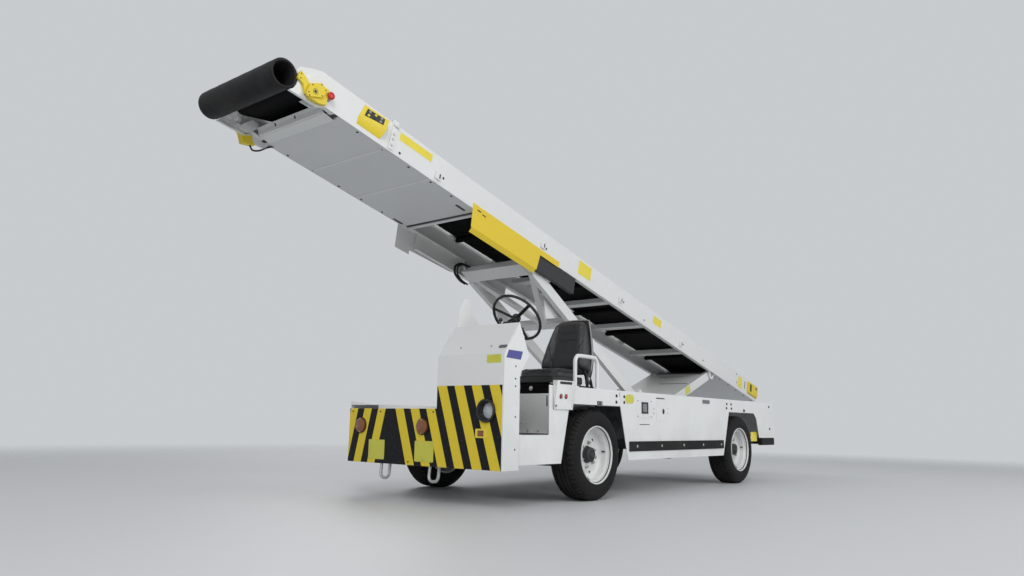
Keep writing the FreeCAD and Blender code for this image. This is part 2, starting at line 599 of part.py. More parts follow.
def steering_column():
    """Column standing on the dash, and the wheel whose spindle turns in it."""
    hub = V(size("wheel_hub_x"), size("wheel_hub_y"), size("wheel_hub_z"))
    lean = FreeCAD.Rotation(V(1, 0, 0), -size("column_lean"))
    axis = lean.multVec(V(0, 0, 1))
    reach, spindle = size("column_length"), size("spindle_r")
    column = Part.makeCylinder(size("column_r"), reach, hub - axis * (reach + 30), axis)
    bore = Part.makeCylinder(spindle + size("fit_gap"), 60, hub - axis * 90, axis)
    front = -size("front_end")
    inside = [V(0, front, size("tip_z") - 300), V(0, front, size("crease_z")),
              V(0, front + size("hood_back"), size("hood_z")),
              V(0, front + size("tip_back"), size("tip_z")),
              V(0, front + size("tip_back"), size("tip_z") - 300)]
    console_space = Part.Face(Part.makePolygon(inside + inside[:1])).extrude(
        V(size("half_width"), 0, 0))
    item = doc.addObject("Part::Feature", "Column")
    item.Shape = column.cut(bore).cut(console_space)
    node("steering_column", "chassis", item)
    ring = Part.makeTorus(size("steer_r"), size("steer_rim_r"))
    solids = [Part.makeCylinder(34, 46, V(0, 0, -24)),
              Part.makeCylinder(spindle, size("spindle_length"),
                                V(0, 0, -24 - size("spindle_length")))]
    for turn in (90, 210, 330):
        spoke = Part.makeBox(size("steer_r"), 22, 9, V(0, -11, -4.5))
        spoke.rotate(V(), V(0, 0, 1), turn)
        solids.append(spoke)
    wheel = doc.addObject("Part::Feature", "SteeringWheel")
    wheel.Shape = ring.multiFuse(solids)
    wheel.Placement = FreeCAD.Placement(hub, lean)
    node("steering_wheel", "chassis", wheel)


def lamps():
    """Headlamp on the console, amber lamps on the bumper and the lamp box by the seat."""
    face = "-front_end"
    place = ("head_x", "head_z")
    bezel = rod("y", "bezel_r", face + " - bezel_out", face, *place)
    cup = rod("y", "cup_r + cup_wall", face, face + " + cup_depth", *place)
    bore = rod("y", "cup_r", face + " - bezel_out - 1", face + " + lens_depth", *place)
    ambers = [rod("y", "amber_r", face + " - amber_depth", face, x, "amber_z")
              for x in ("amber_right_x", "amber_left_x")]
    top = "lamp_box_z + lamp_box_height"
    lamp_box = plate("xz", [("half_width", "lamp_box_z"),
                            ("half_width + lamp_box_foot", "lamp_box_z"),
                            ("half_width + lamp_box_out", top), ("half_width", top)],
                     "lamp_box_rear", "lamp_box_front - lamp_box_rear")
    node("lamps", "chassis", cut(fuse(bezel, cup), bore), *ambers, lamp_box)


def tow_loops():
    """Two forged loops hanging under the bumper for a tow bar."""
    face = size("panel_wall") - size("front_end")
    half, bottom = size("loop_half"), size("loop_z")
    top = size("bumper_z") + size("loop_block")
    rail = size("sill_z") - size("panel_wall") - size("rail_height")
    cross = rail + size("cross_inset")
    loops = []
    for x in (size("loop_left_x"), size("loop_right_x")):
        ring = bar(size("loop_bar_r"), half - 10, [V(x - half, face + 14, top),
                                                   V(x - half, face + 2, bottom),
                                                   V(x + half, face + 2, bottom),
                                                   V(x + half, face + 14, top)])
        block = Part.makeBox(2 * half + 36, 24, rail - top + 10,
                             V(x - half - 18, face, top - 10))
        tongue = Part.makeBox(80, 24, cross - rail, V(x - 60, face, rail))
        ring.Shape = ring.Shape.multiFuse([block, tongue])
        loops.append(ring)
    node("tow_loops", "chassis", *loops)


# ---------------------------------------------------------------- wheels and steering

def wheels():
    """Four tyres on dished rims: the front pair turn on their knuckles' stubs."""
    outer = "half_width"
    inner = "(half_width - tyre_width)"
    tyre = [(inner + " + flange_in", "bead_r"), (inner + " + flange_in", "rim_flange_r"),
            (inner + " + 1", "bead_r + 50"),
            (inner + " + 4", "tyre_r - 36"), (inner + " + 18", "tyre_r - 10"),
            (inner + " + 42", "tyre_r"), (outer + " - 42", "tyre_r"),
            (outer + " - 18", "tyre_r - 10"), (outer + " - 4", "tyre_r - 36"),
            (outer + " - 1", "bead_r + 50"), (outer + " - flange_in", "rim_flange_r"),
            (outer + " - flange_in", "bead_r")]
    disc = "half_width - disc_inset"
    hub_in = disc + " - hub_depth"
    rim = [(inner + " + 8", "bead_r - rim_wall"), (inner + " + 8", "rim_flange_r"),
           (inner + " + flange_in", "rim_flange_r"), (inner + " + flange_in", "bead_r"),
           (outer + " - flange_in", "bead_r"), (outer + " - flange_in", "rim_flange_r"),
           (outer + " - 8", "rim_flange_r"), (outer + " - 8", "bead_r - rim_wall"),
           (disc + " + 30", "bead_r - rim_wall"), (disc, "hub_r + 60"), (disc, "hub_r"),
           (disc + " + cap_depth", "hub_r - 6"), (disc + " + cap_depth", "0"),
           (disc + " + cap_depth - cap_wall", "0"),
           (disc + " + cap_depth - cap_wall", "stub_r + fit_gap"),
           (hub_in, "stub_r + fit_gap"), (hub_in, "hub_r - 12"),
           (disc + " - disc_wall", "hub_r"), (disc + " - disc_wall", "hub_r + 64"),
           (disc + " + 12", "bead_r - rim_wall")]
    for end in ("front", "rear"):
        left_tyre, left_rim = turned(tyre), turned(rim)
        node("tyre_%s_left" % end, end + "_wheel", left_tyre)
        node("tyre_%s_right" % end, end + "_wheel", mirrored(left_tyre))
        node("rim_%s_left" % end, end + "_wheel", left_rim)
        node("rim_%s_right" % end, end + "_wheel", mirrored(left_rim))


def knuckles():
    """Forked knuckles on kingpins, each with a stub for the wheel and an arm for the tie rod."""
    half = "(axle_square / 2 + eye_rise + ear_gap)"
    web = KINGPIN + " + eye_r + side_gap"
    stub_end = "half_width - disc_inset + cap_depth - cap_wall - ear_gap"
    back = KINGPIN + " - 30"
    front, rear = "-knuckle_width / 2", "knuckle_width / 2"
    below, above = "tyre_r - " + half, "tyre_r + " + half
    left = fuse(
        box(back, web + " + knuckle_web", front, rear, above, above + " + ear_wall"),
        box(back, web + " + knuckle_web", front, rear, below + " - ear_wall", below),
        box(web, web + " + knuckle_web", front, rear, below, above),
        rod("z", "kingpin_r", below, above, KINGPIN, "0"),
        rod("x", "stub_r", web, stub_end, "0", "tyre_r"),
        box(back, back + " + steer_arm_width", "0", "steer_arm + 15", below + " - ear_wall",
            below))
    node("knuckle_left", "chassis", left)
    node("knuckle_right", "chassis", mirrored(left))
    reach = KINGPIN + " - 10"
    node("tie_rod", "chassis", rod("x", "tie_rod_r", "-(%s)" % reach, reach, "steer_arm",
                                   below + " - ear_wall - ear_gap - tie_rod_r"))


# ---------------------------------------------------------------- lift

def arm_pins(y, z, reach):
    return rod("x", "pivot_r", "-(%s)" % reach, reach, y, z)


def lugs(eye_y, eye_z, root_y, root_z):
    """Two flat lugs from a cross tube's axis (root) to the cylinders' rod ends (eye)."""
    run = "(%s - (%s))" % (root_y, eye_y)
    rise = "(%s - (%s))" % (root_z, eye_z)
    across = "lug_r * %s / sqrt(%s ^ 2 + %s ^ 2)" % (rise, run, rise)
    up = "lug_r * %s / sqrt(%s ^ 2 + %s ^ 2)" % (run, run, rise)
    strip = plate("yz", [("%s - %s" % (eye_y, across), "%s + %s" % (eye_z, up)),
                         ("%s + %s" % (eye_y, across), "%s - %s" % (eye_z, up)),
                         ("%s + %s" % (root_y, across), "%s - %s" % (root_z, up)),
                         ("%s - %s" % (root_y, across), "%s + %s" % (root_z, up))],
                  "cylinder_x - lug_half", "2 * lug_half")
    eye = rod("x", "lug_r", "cylinder_x - lug_half", "cylinder_x + lug_half", eye_y, eye_z)
    return both(fuse(strip, eye))


def front_arm():
    """Ladder of two box beams, with a wide head beam, braces and a roller at each end."""
    side_in = "(arm_half - arm_width)"
    half = "arm_depth / 2"
    tip = "(-arm_reach - head_ahead)"
    parts = both(box(side_in, "arm_half", "-arm_reach + 90", "boss_r", "-" + half, half))
    parts += both(box(side_in, "arm_half", tip, "-arm_reach + head_behind",
                      "-" + half + " + 20", "roller_rise + 45"))
    parts.append(box("-" + side_in, side_in, tip, tip + " + head_beam", "-40", "20"))
    parts.append(box("-" + side_in, side_in, "-lower_beam_y", "-lower_beam_y + beam_width",
                     "-20", half))
    parts.append(rod("x", "tube_r", "-" + side_in, side_in, "0", "0"))
    parts.append(arm_pins("0", "0", "arm_half + side_gap + bracket_wall + 4"))
    parts.append(arm_pins("-arm_reach", "roller_rise",
                          "arm_half + side_gap + roller_width + 2"))
    parts += both(rod("x", "roller_r", "arm_half + side_gap",
                      "arm_half + side_gap + roller_width", "-arm_reach", "roller_rise"))
    for side in (-1, 1):
        # flat diagonal from the beam's head down to the middle of the lower cross beam
        start = V(side * (size("arm_half") - size("arm_width")),
                  size("head_beam") - size("head_ahead") - size("arm_reach") + 30, 10)
        end = V(0, size("beam_width") / 2 - size("lower_beam_y"), 10)
        width, depth = size("brace_width"), size("brace_depth")
        brace = doc.addObject("Part::Feature", "Brace")
        brace.Shape = Part.makeBox((end - start).Length, width, depth,
                                   V(0, -width / 2, -depth / 2))
        turn = FreeCAD.Rotation(V(1, 0, 0), end - start)
        brace.Placement = FreeCAD.Placement(start, turn)
        parts.append(brace)
    # raised cross tube whose two lugs the lift cylinders push against
    tube_y, tube_z = "lug_reach - front_eye_along", "front_eye_rise + lug_tube_rise"
    parts.append(rod("x", "lug_tube_r", "-" + side_in, side_in, tube_y, tube_z))
    parts += both(box(side_in, "arm_half", tube_y + " - 40", tube_y + " + 40", "0",
                      tube_z + " + lug_tube_r + 4"))
    parts += lugs("-front_eye_along", "front_eye_rise", tube_y, tube_z)
    node("front_arm", "front_arm", fuse(*parts))


def rear_arm():
    """Two box beams joined by a plate and tubes, bored at the end for the conveyor's shaft."""
    side_in = "(arm_half - arm_width)"
    half = "arm_depth / 2"
    end = "rear_arm_length"
    parts = both(box(side_in, "arm_half", "-boss_r", end + " + boss_r - 10", "-" + half, half))
    parts.append(box("-" + side_in, side_in, "arm_plate_start", end + " - arm_plate_end",
                     half + " - arm_plate", half))
    parts.append(rod("x", "tube_r", "-" + side_in, side_in, "0", "0"))
    parts.append(rod("x", "lug_tube_r + side_gap", "-" + side_in, side_in,
                     "rear_eye_along - lug_reach", "0"))
    parts.append(arm_pins("0", "0", "arm_half + side_gap + bracket_wall + 4"))
    parts += lugs("rear_eye_along", "-rear_eye_drop", "rear_eye_along - lug_reach", "0")
    bore = rod("x", "pivot_r + fit_gap", "-arm_half - 1", "arm_half + 1", end, "0")
    node("rear_arm", "rear_arm", cut(fuse(*parts), bore))


def pivot_shaft():
    """Shaft through the rear arm's end that the conveyor's brackets turn on."""
    reach = "arm_half + side_gap + bracket_wall + 2"
    node("pivot_shaft", "conveyor", fuse(
        rod("x", "pivot_r", "-(%s)" % reach, reach, "0", "0"),
        rod("x", "pivot_r + 14", "-arm_half + arm_width + side_gap",
            "arm_half - arm_width - side_gap", "0", "0")))


def cylinders():
    """Lift cylinders: barrels on the chassis's cheeks, forked rods beside the arms' lugs."""
    spans = {"front": length(FRONT_RUN, FRONT_RISE),
             "rear": length(REAR_RUN, REAR_RISE)}
    for end, span in spans.items():
        fork = "%s - %s_fork_reach" % (span, end)
        mouth = "%s - fork_base - %s_stroke_in - side_gap" % (fork, end)
        barrel = fuse(rod("y", "barrel_r", "-clevis_r", mouth, "cylinder_x", "0"),
                      rod("x", "pin_r", "cylinder_x - cheek_out - 4",
                          "cylinder_x + cheek_out + 4", "0", "0"))
        barrel = cut(barrel, rod("y", "rod_r + fit_gap", "pin_r + 6", mouth + " + 1",
                                 "cylinder_x", "0"))
        parts = [rod("y", "rod_r", "pin_r + 10 + %s_stroke_in" % end, fork + " - 7",
                     "cylinder_x", "0"),
                 box("cylinder_x - lug_half - fork_gap - fork_wall",
                     "cylinder_x + lug_half + fork_gap + fork_wall", fork + " - fork_base",
                     fork, "-lug_r", "lug_r")]
        for hand in (-1, 1):
            inner, outer, head = ["cylinder_x + %d * (lug_half + fork_gap%s)" % (hand, out)
                                  for out in ("", " + fork_wall", " + fork_wall + 8")]
            low, high = (inner, outer) if hand > 0 else (outer, inner)
            parts.append(box(low, high, fork + " - fork_base", span, "-lug_r", "lug_r"))
            parts.append(rod("x", "lug_r", low, high, span, "0"))
            low, high = (outer, head) if hand > 0 else (head, outer)
            parts.append(rod("x", "pin_r", low, high, span, "0"))
        node(end + "_barrels", end + "_cylinder", *both(barrel))
        node(end + "_rods", end + "_cylinder", *both(fuse(*parts)))


# ---------------------------------------------------------------- conveyor

FRAME_TOP = "(frame_gap + frame_depth)"
WEB_IN = "(conveyor_half - web_wall)"


def conveyor_frame():
    """Two deep channels tied by cross members, with brackets at the pin and roller tracks."""
    nose_y = "-nose_reach"
    tail_y = "tail_reach"
    tube_y = "-nose_reach - nose_tube_ahead"
    web = plate("yz", [(nose_y, "frame_gap - 5"),
                       (nose_y + " + 15", FRAME_TOP + " - nose_slope_drop"),
                       (nose_y + " + nose_slope", FRAME_TOP), (tail_y + " - 30", FRAME_TOP),
                       (tail_y, FRAME_TOP + " - 45"), (tail_y + " - 53", "frame_gap")],
                WEB_IN, "web_wall")
    web = cut(web, rod("x", "nose_tube_r + 2", WEB_IN + " - 1", "conveyor_half + 1", tube_y,
                       "nose_tube_z"))
    flange_in = "conveyor_half - flange"
    upper = box(flange_in, "conveyor_half", nose_y + " + nose_slope + 20", tail_y + " - 60",
                FRAME_TOP + " - web_wall", FRAME_TOP)
    lower = box(flange_in, "conveyor_half", nose_y + " + 130", tail_y + " - 80",
                "frame_gap", "frame_gap + web_wall")
    roll_holder = cut(box("conveyor_half - 40", WEB_IN, tube_y, nose_y + " + 90",
                          "frame_gap + 20", "frame_gap + 60"),
                      rod("x", "nose_tube_r", "0", "conveyor_half", tube_y, "nose_tube_z"))
    start, end = ON_TRACK + " - track_ahead", ON_TRACK + " + track_behind"
    track_low = "frame_gap - track_drop"
    track = fuse(box(WEB_IN + " - track_web", WEB_IN, start, end, track_low, "frame_gap"),
                 box("arm_half + side_gap", WEB_IN, start, end, track_low,
                     track_low + " + track_wall"))
    bracket = plate("yz", [("-120", "frame_gap + 40"), ("-45", "-40"), ("-25", "-boss_r"),
                           ("25", "-boss_r"), ("45", "-40"), ("120", "frame_gap + 40")],
                    "arm_half + side_gap", "bracket_wall")
    spacer = box("arm_half + side_gap", WEB_IN, "-110", "110", "frame_gap + web_wall",
                 "frame_gap + 40")
    side = cut(fuse(web, upper, lower, roll_holder, track, bracket, spacer),
               rod("x", "pivot_r + fit_gap", "arm_half", "arm_half + side_gap + bracket_wall + 8",
                   "0", "0"))
    ties = [box("-" + WEB_IN, WEB_IN, "%s - nose_reach" % y, "%s - nose_reach + tie_width" % y,
                "tie_z", "tie_z + tie_height") for y in TIES]
    ties.append(box("-" + WEB_IN, WEB_IN, nose_y + " + front_tie_in",
                    nose_y + " + front_tie_in + front_tie_width", "frame_gap",
                    "frame_gap + front_tie_height"))
    node("conveyor_frame", "conveyor", fuse(*both(side), *ties))


def conveyor_pans():
    """Flat sheets closing the frame's underside: three ahead of the arms, one at the tail."""
    seams = ["front_tie_in + front_tie_width", "pan_second", "pan_third", "pan_end"]
    spans = [("%s - nose_reach" % start, "%s - nose_reach" % end)
             for start, end in zip(seams, seams[1:])]
    spans.append(("tail_pan_y", "tail_reach - 80"))
    node("conveyor_pans", "conveyor", *[
        box("1 - " + WEB_IN, WEB_IN + " - 1", start + " + pan_seam", end + " - pan_seam",
            "frame_gap - pan_wall", "frame_gap") for start, end in spans])


def belt():
    """One endless belt: flat carrying run, two end pulleys and a raised return run."""
    front = size("front_pulley_in") - size("nose_reach")
    rear = size("tail_reach") - size("rear_pulley_in")
    mid = size("pulley_z")
    snub = size("snub_run")

    def loop(inset):
        """The loop's outline, inset from the belt's outer face, tangent to both pulleys."""
        r = size("pulley_r") + size("belt_wall") - inset
        run = size("return_z") + inset
        rise = run - mid
        turn = math.pi - math.atan2(rise, snub) + math.acos(r / math.hypot(snub, rise))
        leave = V(0, rear + r * math.cos(turn), mid + r * math.sin(turn))
        enter = V(0, front - r * math.cos(turn), leave.z)
        low = [leave, V(0, rear - snub, run), V(0, front + snub, run), enter]
        edges = [Part.LineSegment(V(0, front, mid + r), V(0, rear, mid + r)).toShape(),
                 Part.Arc(V(0, rear, mid + r), V(0, rear + r, mid), leave).toShape()]
        edges += [Part.LineSegment(p, q).toShape() for p, q in zip(low, low[1:])]
        edges.append(Part.Arc(enter, V(0, front - r, mid), V(0, front, mid + r)).toShape())
        return Part.Face(Part.Wire(edges))

    item = doc.addObject("Part::Feature", "BeltLoop")
    half = size("belt_half")
    item.Shape = loop(0).cut(loop(size("belt_wall"))).extrude(V(2 * half, 0, 0))
    item.Placement = FreeCAD.Placement(V(-half, 0, 0), FreeCAD.Rotation())
    node("belt", "conveyor", item)
    pulleys = [fuse(rod("x", "pulley_r", "-belt_half", "belt_half", y, "pulley_z"),
                    rod("x", "pulley_shaft_r", "-" + WEB_IN, WEB_IN, y, "pulley_z"))
               for y in ("front_pulley_in - nose_reach", "tail_reach - rear_pulley_in")]
    node("belt_pulleys", "conveyor", *pulleys)


def nose_bumper():
    """Thick hollow rubber roll across the conveyor's nose."""
    tube_y = "-nose_reach - nose_tube_ahead"
    outer = rod("x", "nose_tube_r", "-conveyor_half", "conveyor_half", tube_y, "nose_tube_z")
    hole = rod("x", "nose_tube_r - nose_tube_wall", "-conveyor_half - 1", "conveyor_half + 1",
               tube_y, "nose_tube_z")
    node("nose_bumper", "conveyor", cut(outer, hole))


def conveyor_guards():
    """Sheet guards hanging outside the roller tracks, with the left one's lip folded in."""
    side = "conveyor_half"
    drop = "frame_gap - guard_drop"
    front, back = ON_TRACK + " - guard_ahead", ON_TRACK + " + guard_behind"
    tail = ON_TRACK + " + guard_tail"
    rise = "frame_gap + guard_rise"
    face = plate("yz", [(front, drop), (front + " - 26", rise), (tail, rise),
                        (tail, "frame_gap - 12"), (back, "frame_gap - 12"),
                        (back + " - 20", drop)], side, "guard_wall")
    lip = plate("xz", [(side, drop), (side + " + guard_wall", drop),
                       (side + " - guard_fold", drop + " - guard_lip"),
                       (side + " - guard_fold - guard_wall", drop + " - guard_lip")],
                "-(%s) + 30" % back, "guard_ahead + guard_behind - 40")
    low = drop + " - guard_lip - 16"
    right = plate("yz", [(front, low), (front + " - 22", "frame_gap + 10"),
                         (tail, "frame_gap + 10"), (tail, "frame_gap - 60"),
                         (ON_TRACK + " - 176", drop + " + 1"), (front + " + 170", drop + " - 16"),
                         (front + " + 170", low)], "-" + side + " - guard_wall", "guard_wall")
    node("conveyor_guards", "conveyor", fuse(face, lip), right)


def conveyor_controls():
    """Yellow switch boxes and stop buttons on the conveyor's sides, front and rear."""
    side = "conveyor_half"
    nose = "-nose_reach"
    switch = plate("yz", [("%s + %d" % (nose, y), str(z)) for y, z in (
        (98, 73), (176, 125), (254, 125), (258, 7), (213, -12), (104, -23), (87, -5))],
                   side, "45")
    lever = plate("yz", [("%s + %d" % (nose, y), str(z)) for y, z in (
        (21, 127), (11, 89), (14, 65), (60, 53), (94, -3), (106, 83), (57, 114))],
                  side, "24")
    stop = rod("x", "27", side, side + " + 55", nose + " + 268", "84")
    out = side + " + panel_out"
    start, end = nose + " + panel_front", nose + " + panel_rear"
    panel = plate("xz", [(side, "panel_low"), (out, "panel_ridge"), (out, "panel_shoulder"),
                         (side, "panel_top")], "-(%s)" % end, "panel_rear - panel_front")
    panel = cut(panel, plate("xy", [(side, start), (out, end), (out + " + 5", end),
                                    (out + " + 5", start + " - 5"), (side, start + " - 5")],
                             "panel_low - 5", "panel_top - panel_low + 10"))
    rear = box(side, side + " + 26", "tail_reach - 352", "tail_reach - 42", "54", "210")
    right = box("-conveyor_half - 60", "-conveyor_half", nose + " + 160", nose + " + 280",
                "30", "140")
    node("conveyor_controls", "conveyor", fuse(switch, lever, stop), panel, rear, right,
         mirrored(rear))


for build in (chassis_frame, lift_brackets, front_axle, rear_axle, engine_block, front_panel,
              console, driver_tub, side_panels, side_decks, deck_walls, bay_floor,
              rear_panel, rubber_strips, seat, guard_bar, steering_column, lamps, tow_loops, wheels, knuckles, front_arm,
              rear_arm, pivot_shaft, cylinders, conveyor_frame, conveyor_pans, belt,
              nose_bumper, conveyor_guards, conveyor_controls):
    build()
doc.recompute()

# ---------------------------------------------------------------- check and write

for item in doc.Objects:
    if any(word in item.State for word in ("Invalid", "Error")):
        raise RuntimeError("%s (%s) did not recompute: %s" % (item.Label, item.Name, item.State))
os.makedirs("parts", exist_ok=True)
for item in nodes:
    shape = item.Shape
    if shape.isNull() or not shape.isValid() or not shape.Solids:
        raise RuntimeError("%s has no valid solid" % item.Label)
    shape.exportStep("parts/%s.step" % item.Label)
    print("%-20s %2d solids  %12.0f mm3" % (item.Label, len(shape.Solids), shape.Volume))
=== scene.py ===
"""Looks of the baggage belt loader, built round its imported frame. Lengths are in metres."""
import json
import math

import bmesh
import bpy
import numpy as np
from mathutils import Matrix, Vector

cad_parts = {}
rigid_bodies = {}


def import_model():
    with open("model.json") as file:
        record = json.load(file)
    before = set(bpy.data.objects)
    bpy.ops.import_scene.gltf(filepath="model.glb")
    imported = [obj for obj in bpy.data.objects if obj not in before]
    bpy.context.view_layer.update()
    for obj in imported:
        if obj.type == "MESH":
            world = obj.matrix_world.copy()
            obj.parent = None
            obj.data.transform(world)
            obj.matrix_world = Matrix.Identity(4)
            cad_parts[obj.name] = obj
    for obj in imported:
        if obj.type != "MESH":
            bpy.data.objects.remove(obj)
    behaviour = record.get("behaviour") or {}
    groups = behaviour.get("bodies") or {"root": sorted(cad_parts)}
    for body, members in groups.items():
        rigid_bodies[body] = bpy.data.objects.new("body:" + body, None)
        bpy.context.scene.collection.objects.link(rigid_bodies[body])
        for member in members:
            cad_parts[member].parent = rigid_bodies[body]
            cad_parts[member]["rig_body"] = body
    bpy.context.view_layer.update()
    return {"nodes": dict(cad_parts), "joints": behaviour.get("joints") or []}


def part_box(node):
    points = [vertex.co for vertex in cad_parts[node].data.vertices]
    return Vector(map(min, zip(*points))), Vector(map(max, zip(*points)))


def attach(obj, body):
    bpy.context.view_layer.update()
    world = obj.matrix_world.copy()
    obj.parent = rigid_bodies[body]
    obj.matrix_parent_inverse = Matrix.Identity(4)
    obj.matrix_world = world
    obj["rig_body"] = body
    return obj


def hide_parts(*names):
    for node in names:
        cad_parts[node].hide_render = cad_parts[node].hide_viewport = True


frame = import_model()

JOINT = {joint["name"]: joint for joint in frame["joints"]}


def middle(node):
    low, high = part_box(node)
    return (np.array(low) + np.array(high)) / 2


# ------------------------------------------------------------------ places

class Place:
    """A frame on the vehicle: a point put in it is tilted about X, then moved by its origin."""

    def __init__(self, origin, tilt=0.0):
        self.origin = np.array(origin, float)
        self.cos, self.sin = math.cos(tilt), math.sin(tilt)
        self.tilt = tilt

    def back(self, points):
        """The points of the object's frame, seen in this place's own frame."""
        x, y, z = (np.asarray(points, float) - self.origin).T
        return np.stack([x, self.cos * y + self.sin * z, -self.sin * y + self.cos * z], axis=-1)

    def put(self, points):
        x, y, z = np.moveaxis(np.asarray(points, float), -1, 0)
        turned = (x, y * self.cos - z * self.sin, y * self.sin + z * self.cos)
        return np.stack(turned, -1) + self.origin


AXLE = middle("tyre_front_left")
BODY = Place((0, AXLE[1], 0))
PIN = np.array(JOINT["front_lift"]["pos_m"])
NOSE = middle("nose_bumper") - PIN
ROLL_AT = (0, -6.492, 0.052)
CONVEYOR = Place(PIN, math.atan2(NOSE[2], NOSE[1]) - math.atan2(ROLL_AT[2], ROLL_AT[1]))
REAR_ARM = Place(JOINT["rear_lift"]["pos_m"], math.radians(19.68))
WHEEL_LEAN = math.radians(48)


# ------------------------------------------------------------------ shapes

def quads(rows, columns, wrap_rows=False, wrap_columns=False):
    """Corner numbers of the squares of a grid, rows by columns, wrapped round where asked."""
    i, j = np.meshgrid(np.arange(rows if wrap_rows else rows - 1),
        np.arange(columns if wrap_columns else columns - 1), indexing="ij")
    i, j = i.ravel(), j.ravel()
    down, right = (i + 1) % rows, (j + 1) % columns
    return np.stack([i * columns + j, i * columns + right, down * columns + right,
        down * columns + j], -1).tolist()


def merge(*shapes):
    """Several shapes as one: points stacked, faces renumbered after those before them."""
    points, faces, start = [], [], 0
    for these, polygons in shapes:
        these = np.asarray(these, float).reshape(-1, 3)
        points.append(these)
        faces += [[corner + start for corner in face] for face in polygons]
        start += len(these)
    return np.concatenate(points), faces


def repeated(shape, places, turn=None):
    """The shape at every place: each point turned, then moved by the place, in one array."""
    points, faces = shape
    places = np.asarray(places, float).reshape(-1, 3)
    points = points if turn is None else points @ np.asarray(turn, float).T
    stack = (places[:, None, :] + points[None]).reshape(-1, 3)
    count = len(points)
    return stack, [[c + k * count for c in face] for k in range(len(places)) for face in faces]


def box(low, high):
    """A block between two corners: every mix of low and high on the three axes."""
    pick = np.array([[i, j, k] for i in (0, 1) for j in (0, 1) for k in (0, 1)])
    points = np.where(pick, np.array(high, float), np.array(low, float))
    return (points, [[0, 1, 3, 2], [4, 6, 7, 5], [0, 4, 5, 1], [2, 3, 7, 6], [0, 2, 6, 4],
        [1, 5, 7, 3]])


def prism(outline, start, end, axis="x"):
    """A flat outline pushed along an axis from start to end, with both ends closed."""
    outline = np.asarray(outline, float)
    n = len(outline)
    order = {"x": (2, 0, 1), "y": (0, 2, 1), "z": (0, 1, 2)}[axis]
    ends = [np.column_stack([outline, np.full(n, level)])[:, order] for level in (start, end)]
    faces = [[k, (k + 1) % n, n + (k + 1) % n, n + k] for k in range(n)]
    return np.concatenate(ends), faces + [list(range(n))[::-1], list(range(n, 2 * n))]


def lathe(profile, sides=32, axis="x", centre=(0, 0, 0), hollow=False):
    """A profile of (radius, distance along) turned about an axis through the centre.

    A hollow one is a closed ring: its last circle is joined to its first.
    """
    profile = np.asarray(profile, float)
    angle = np.arange(sides) * 2 * math.pi / sides
    radius, along = profile[:, :1], profile[:, 1:] + 0 * angle
    round_a, round_b = radius * np.cos(angle), radius * np.sin(angle)
    parts = {"x": (along, round_a, round_b), "y": (round_b, along, round_a),
        "z": (round_a, round_b, along)}[axis]
    points = np.stack(parts, -1).reshape(-1, 3) + np.array(centre, float)
    return points, quads(len(profile), sides, hollow, True)


def sweep(path, section, side, closed=False):
    """A section of (sideways, upwards) carried along a path, square to its direction."""
    path, section = np.asarray(path, float), np.asarray(section, float)
    if closed:
        along = np.roll(path, -1, 0) - np.roll(path, 1, 0)
    else:
        along = np.vstack([path[1:], path[-1:]]) - np.vstack([path[:1], path[:-1]])
    along /= np.linalg.norm(along, axis=1, keepdims=True)
    side = np.broadcast_to(np.asarray(side, float), path.shape)
    side = side - along * np.sum(side * along, 1, keepdims=True)
    side /= np.linalg.norm(side, axis=1, keepdims=True)
    up = np.cross(side, along)
    points = (path[:, None] + section[None, :, :1] * side[:, None]
        + section[None, :, 1:] * up[:, None]).reshape(-1, 3)
    faces = quads(len(path), len(section), closed, True)
    if not closed:
        last = len(section) * (len(path) - 1)
        faces += [list(range(len(section)))[::-1], list(range(last, last + len(section)))]
    return points, faces


def circle(radius, sides=12):
    """A ring of points: radius times the cosine and sine of equal steps of a full turn."""
    angle = np.arange(sides) * 2 * math.pi / sides
    return radius * np.column_stack([np.cos(angle), np.sin(angle)])


def flowing(points, steps=8):
    """A smooth line through the points: Catmull and Rom's cubic between each pair."""
    p = np.asarray(points, float)
    p = np.vstack([2 * p[0] - p[1], p, 2 * p[-1] - p[-2]])
    t = np.linspace(0, 1, steps, endpoint=False)[None, :, None]
    a, b, c, d = (p[k:len(p) - 3 + k][:, None] for k in range(4))
    curve = 0.5 * (2 * b + (c - a) * t + (2 * a - 5 * b + 4 * c - d) * t ** 2
        + (3 * b - a - 3 * c + d) * t ** 3)
    return np.vstack([curve.reshape(-1, p.shape[1]), p[-2:-1]])


def pipe(points, radius, side=(1, 0, 0), sides=12):
    """A round hose or bar along a smooth line through the points."""
    return sweep(flowing(points), circle(radius, sides), side)


def rounded(width, height, radius, steps=5):
    """A rectangle with quarter circles of the radius at its four corners."""
    corners = np.array([[1, 1], [-1, 1], [-1, -1], [1, -1]])
    angle = np.linspace(0, math.pi / 2, steps)
    turn = angle[None] + np.arange(4)[:, None] * math.pi / 2
    centre = corners * (np.array([width, height]) / 2 - radius)
    arc = np.stack([np.cos(turn), np.sin(turn)], -1) * radius
    return (centre[:, None] + arc).reshape(-1, 2)


def facing(normal):
    """The turn that takes Z to the normal, with its sideways axis kept level."""
    n = np.array(normal, float) / np.linalg.norm(normal)
    side = np.cross((0, 0, 1) if abs(n[2]) < 0.9 else (0, 1, 0), n)
    side /= np.linalg.norm(side)
    return np.column_stack([side, np.cross(n, side), n])


def stud(radius=0.009, height=0.006, sides=10):
    """A button screw's head: a short wall, then a quarter-ellipse dome to its middle."""
    t = np.linspace(0, math.pi / 2, 4)
    dome = np.column_stack([radius * np.cos(t), height * (0.3 + 0.7 * np.sin(t))])
    return lathe(np.vstack([[0, 0], [radius, 0], dome[:-1], [0, height]]), sides, "z")


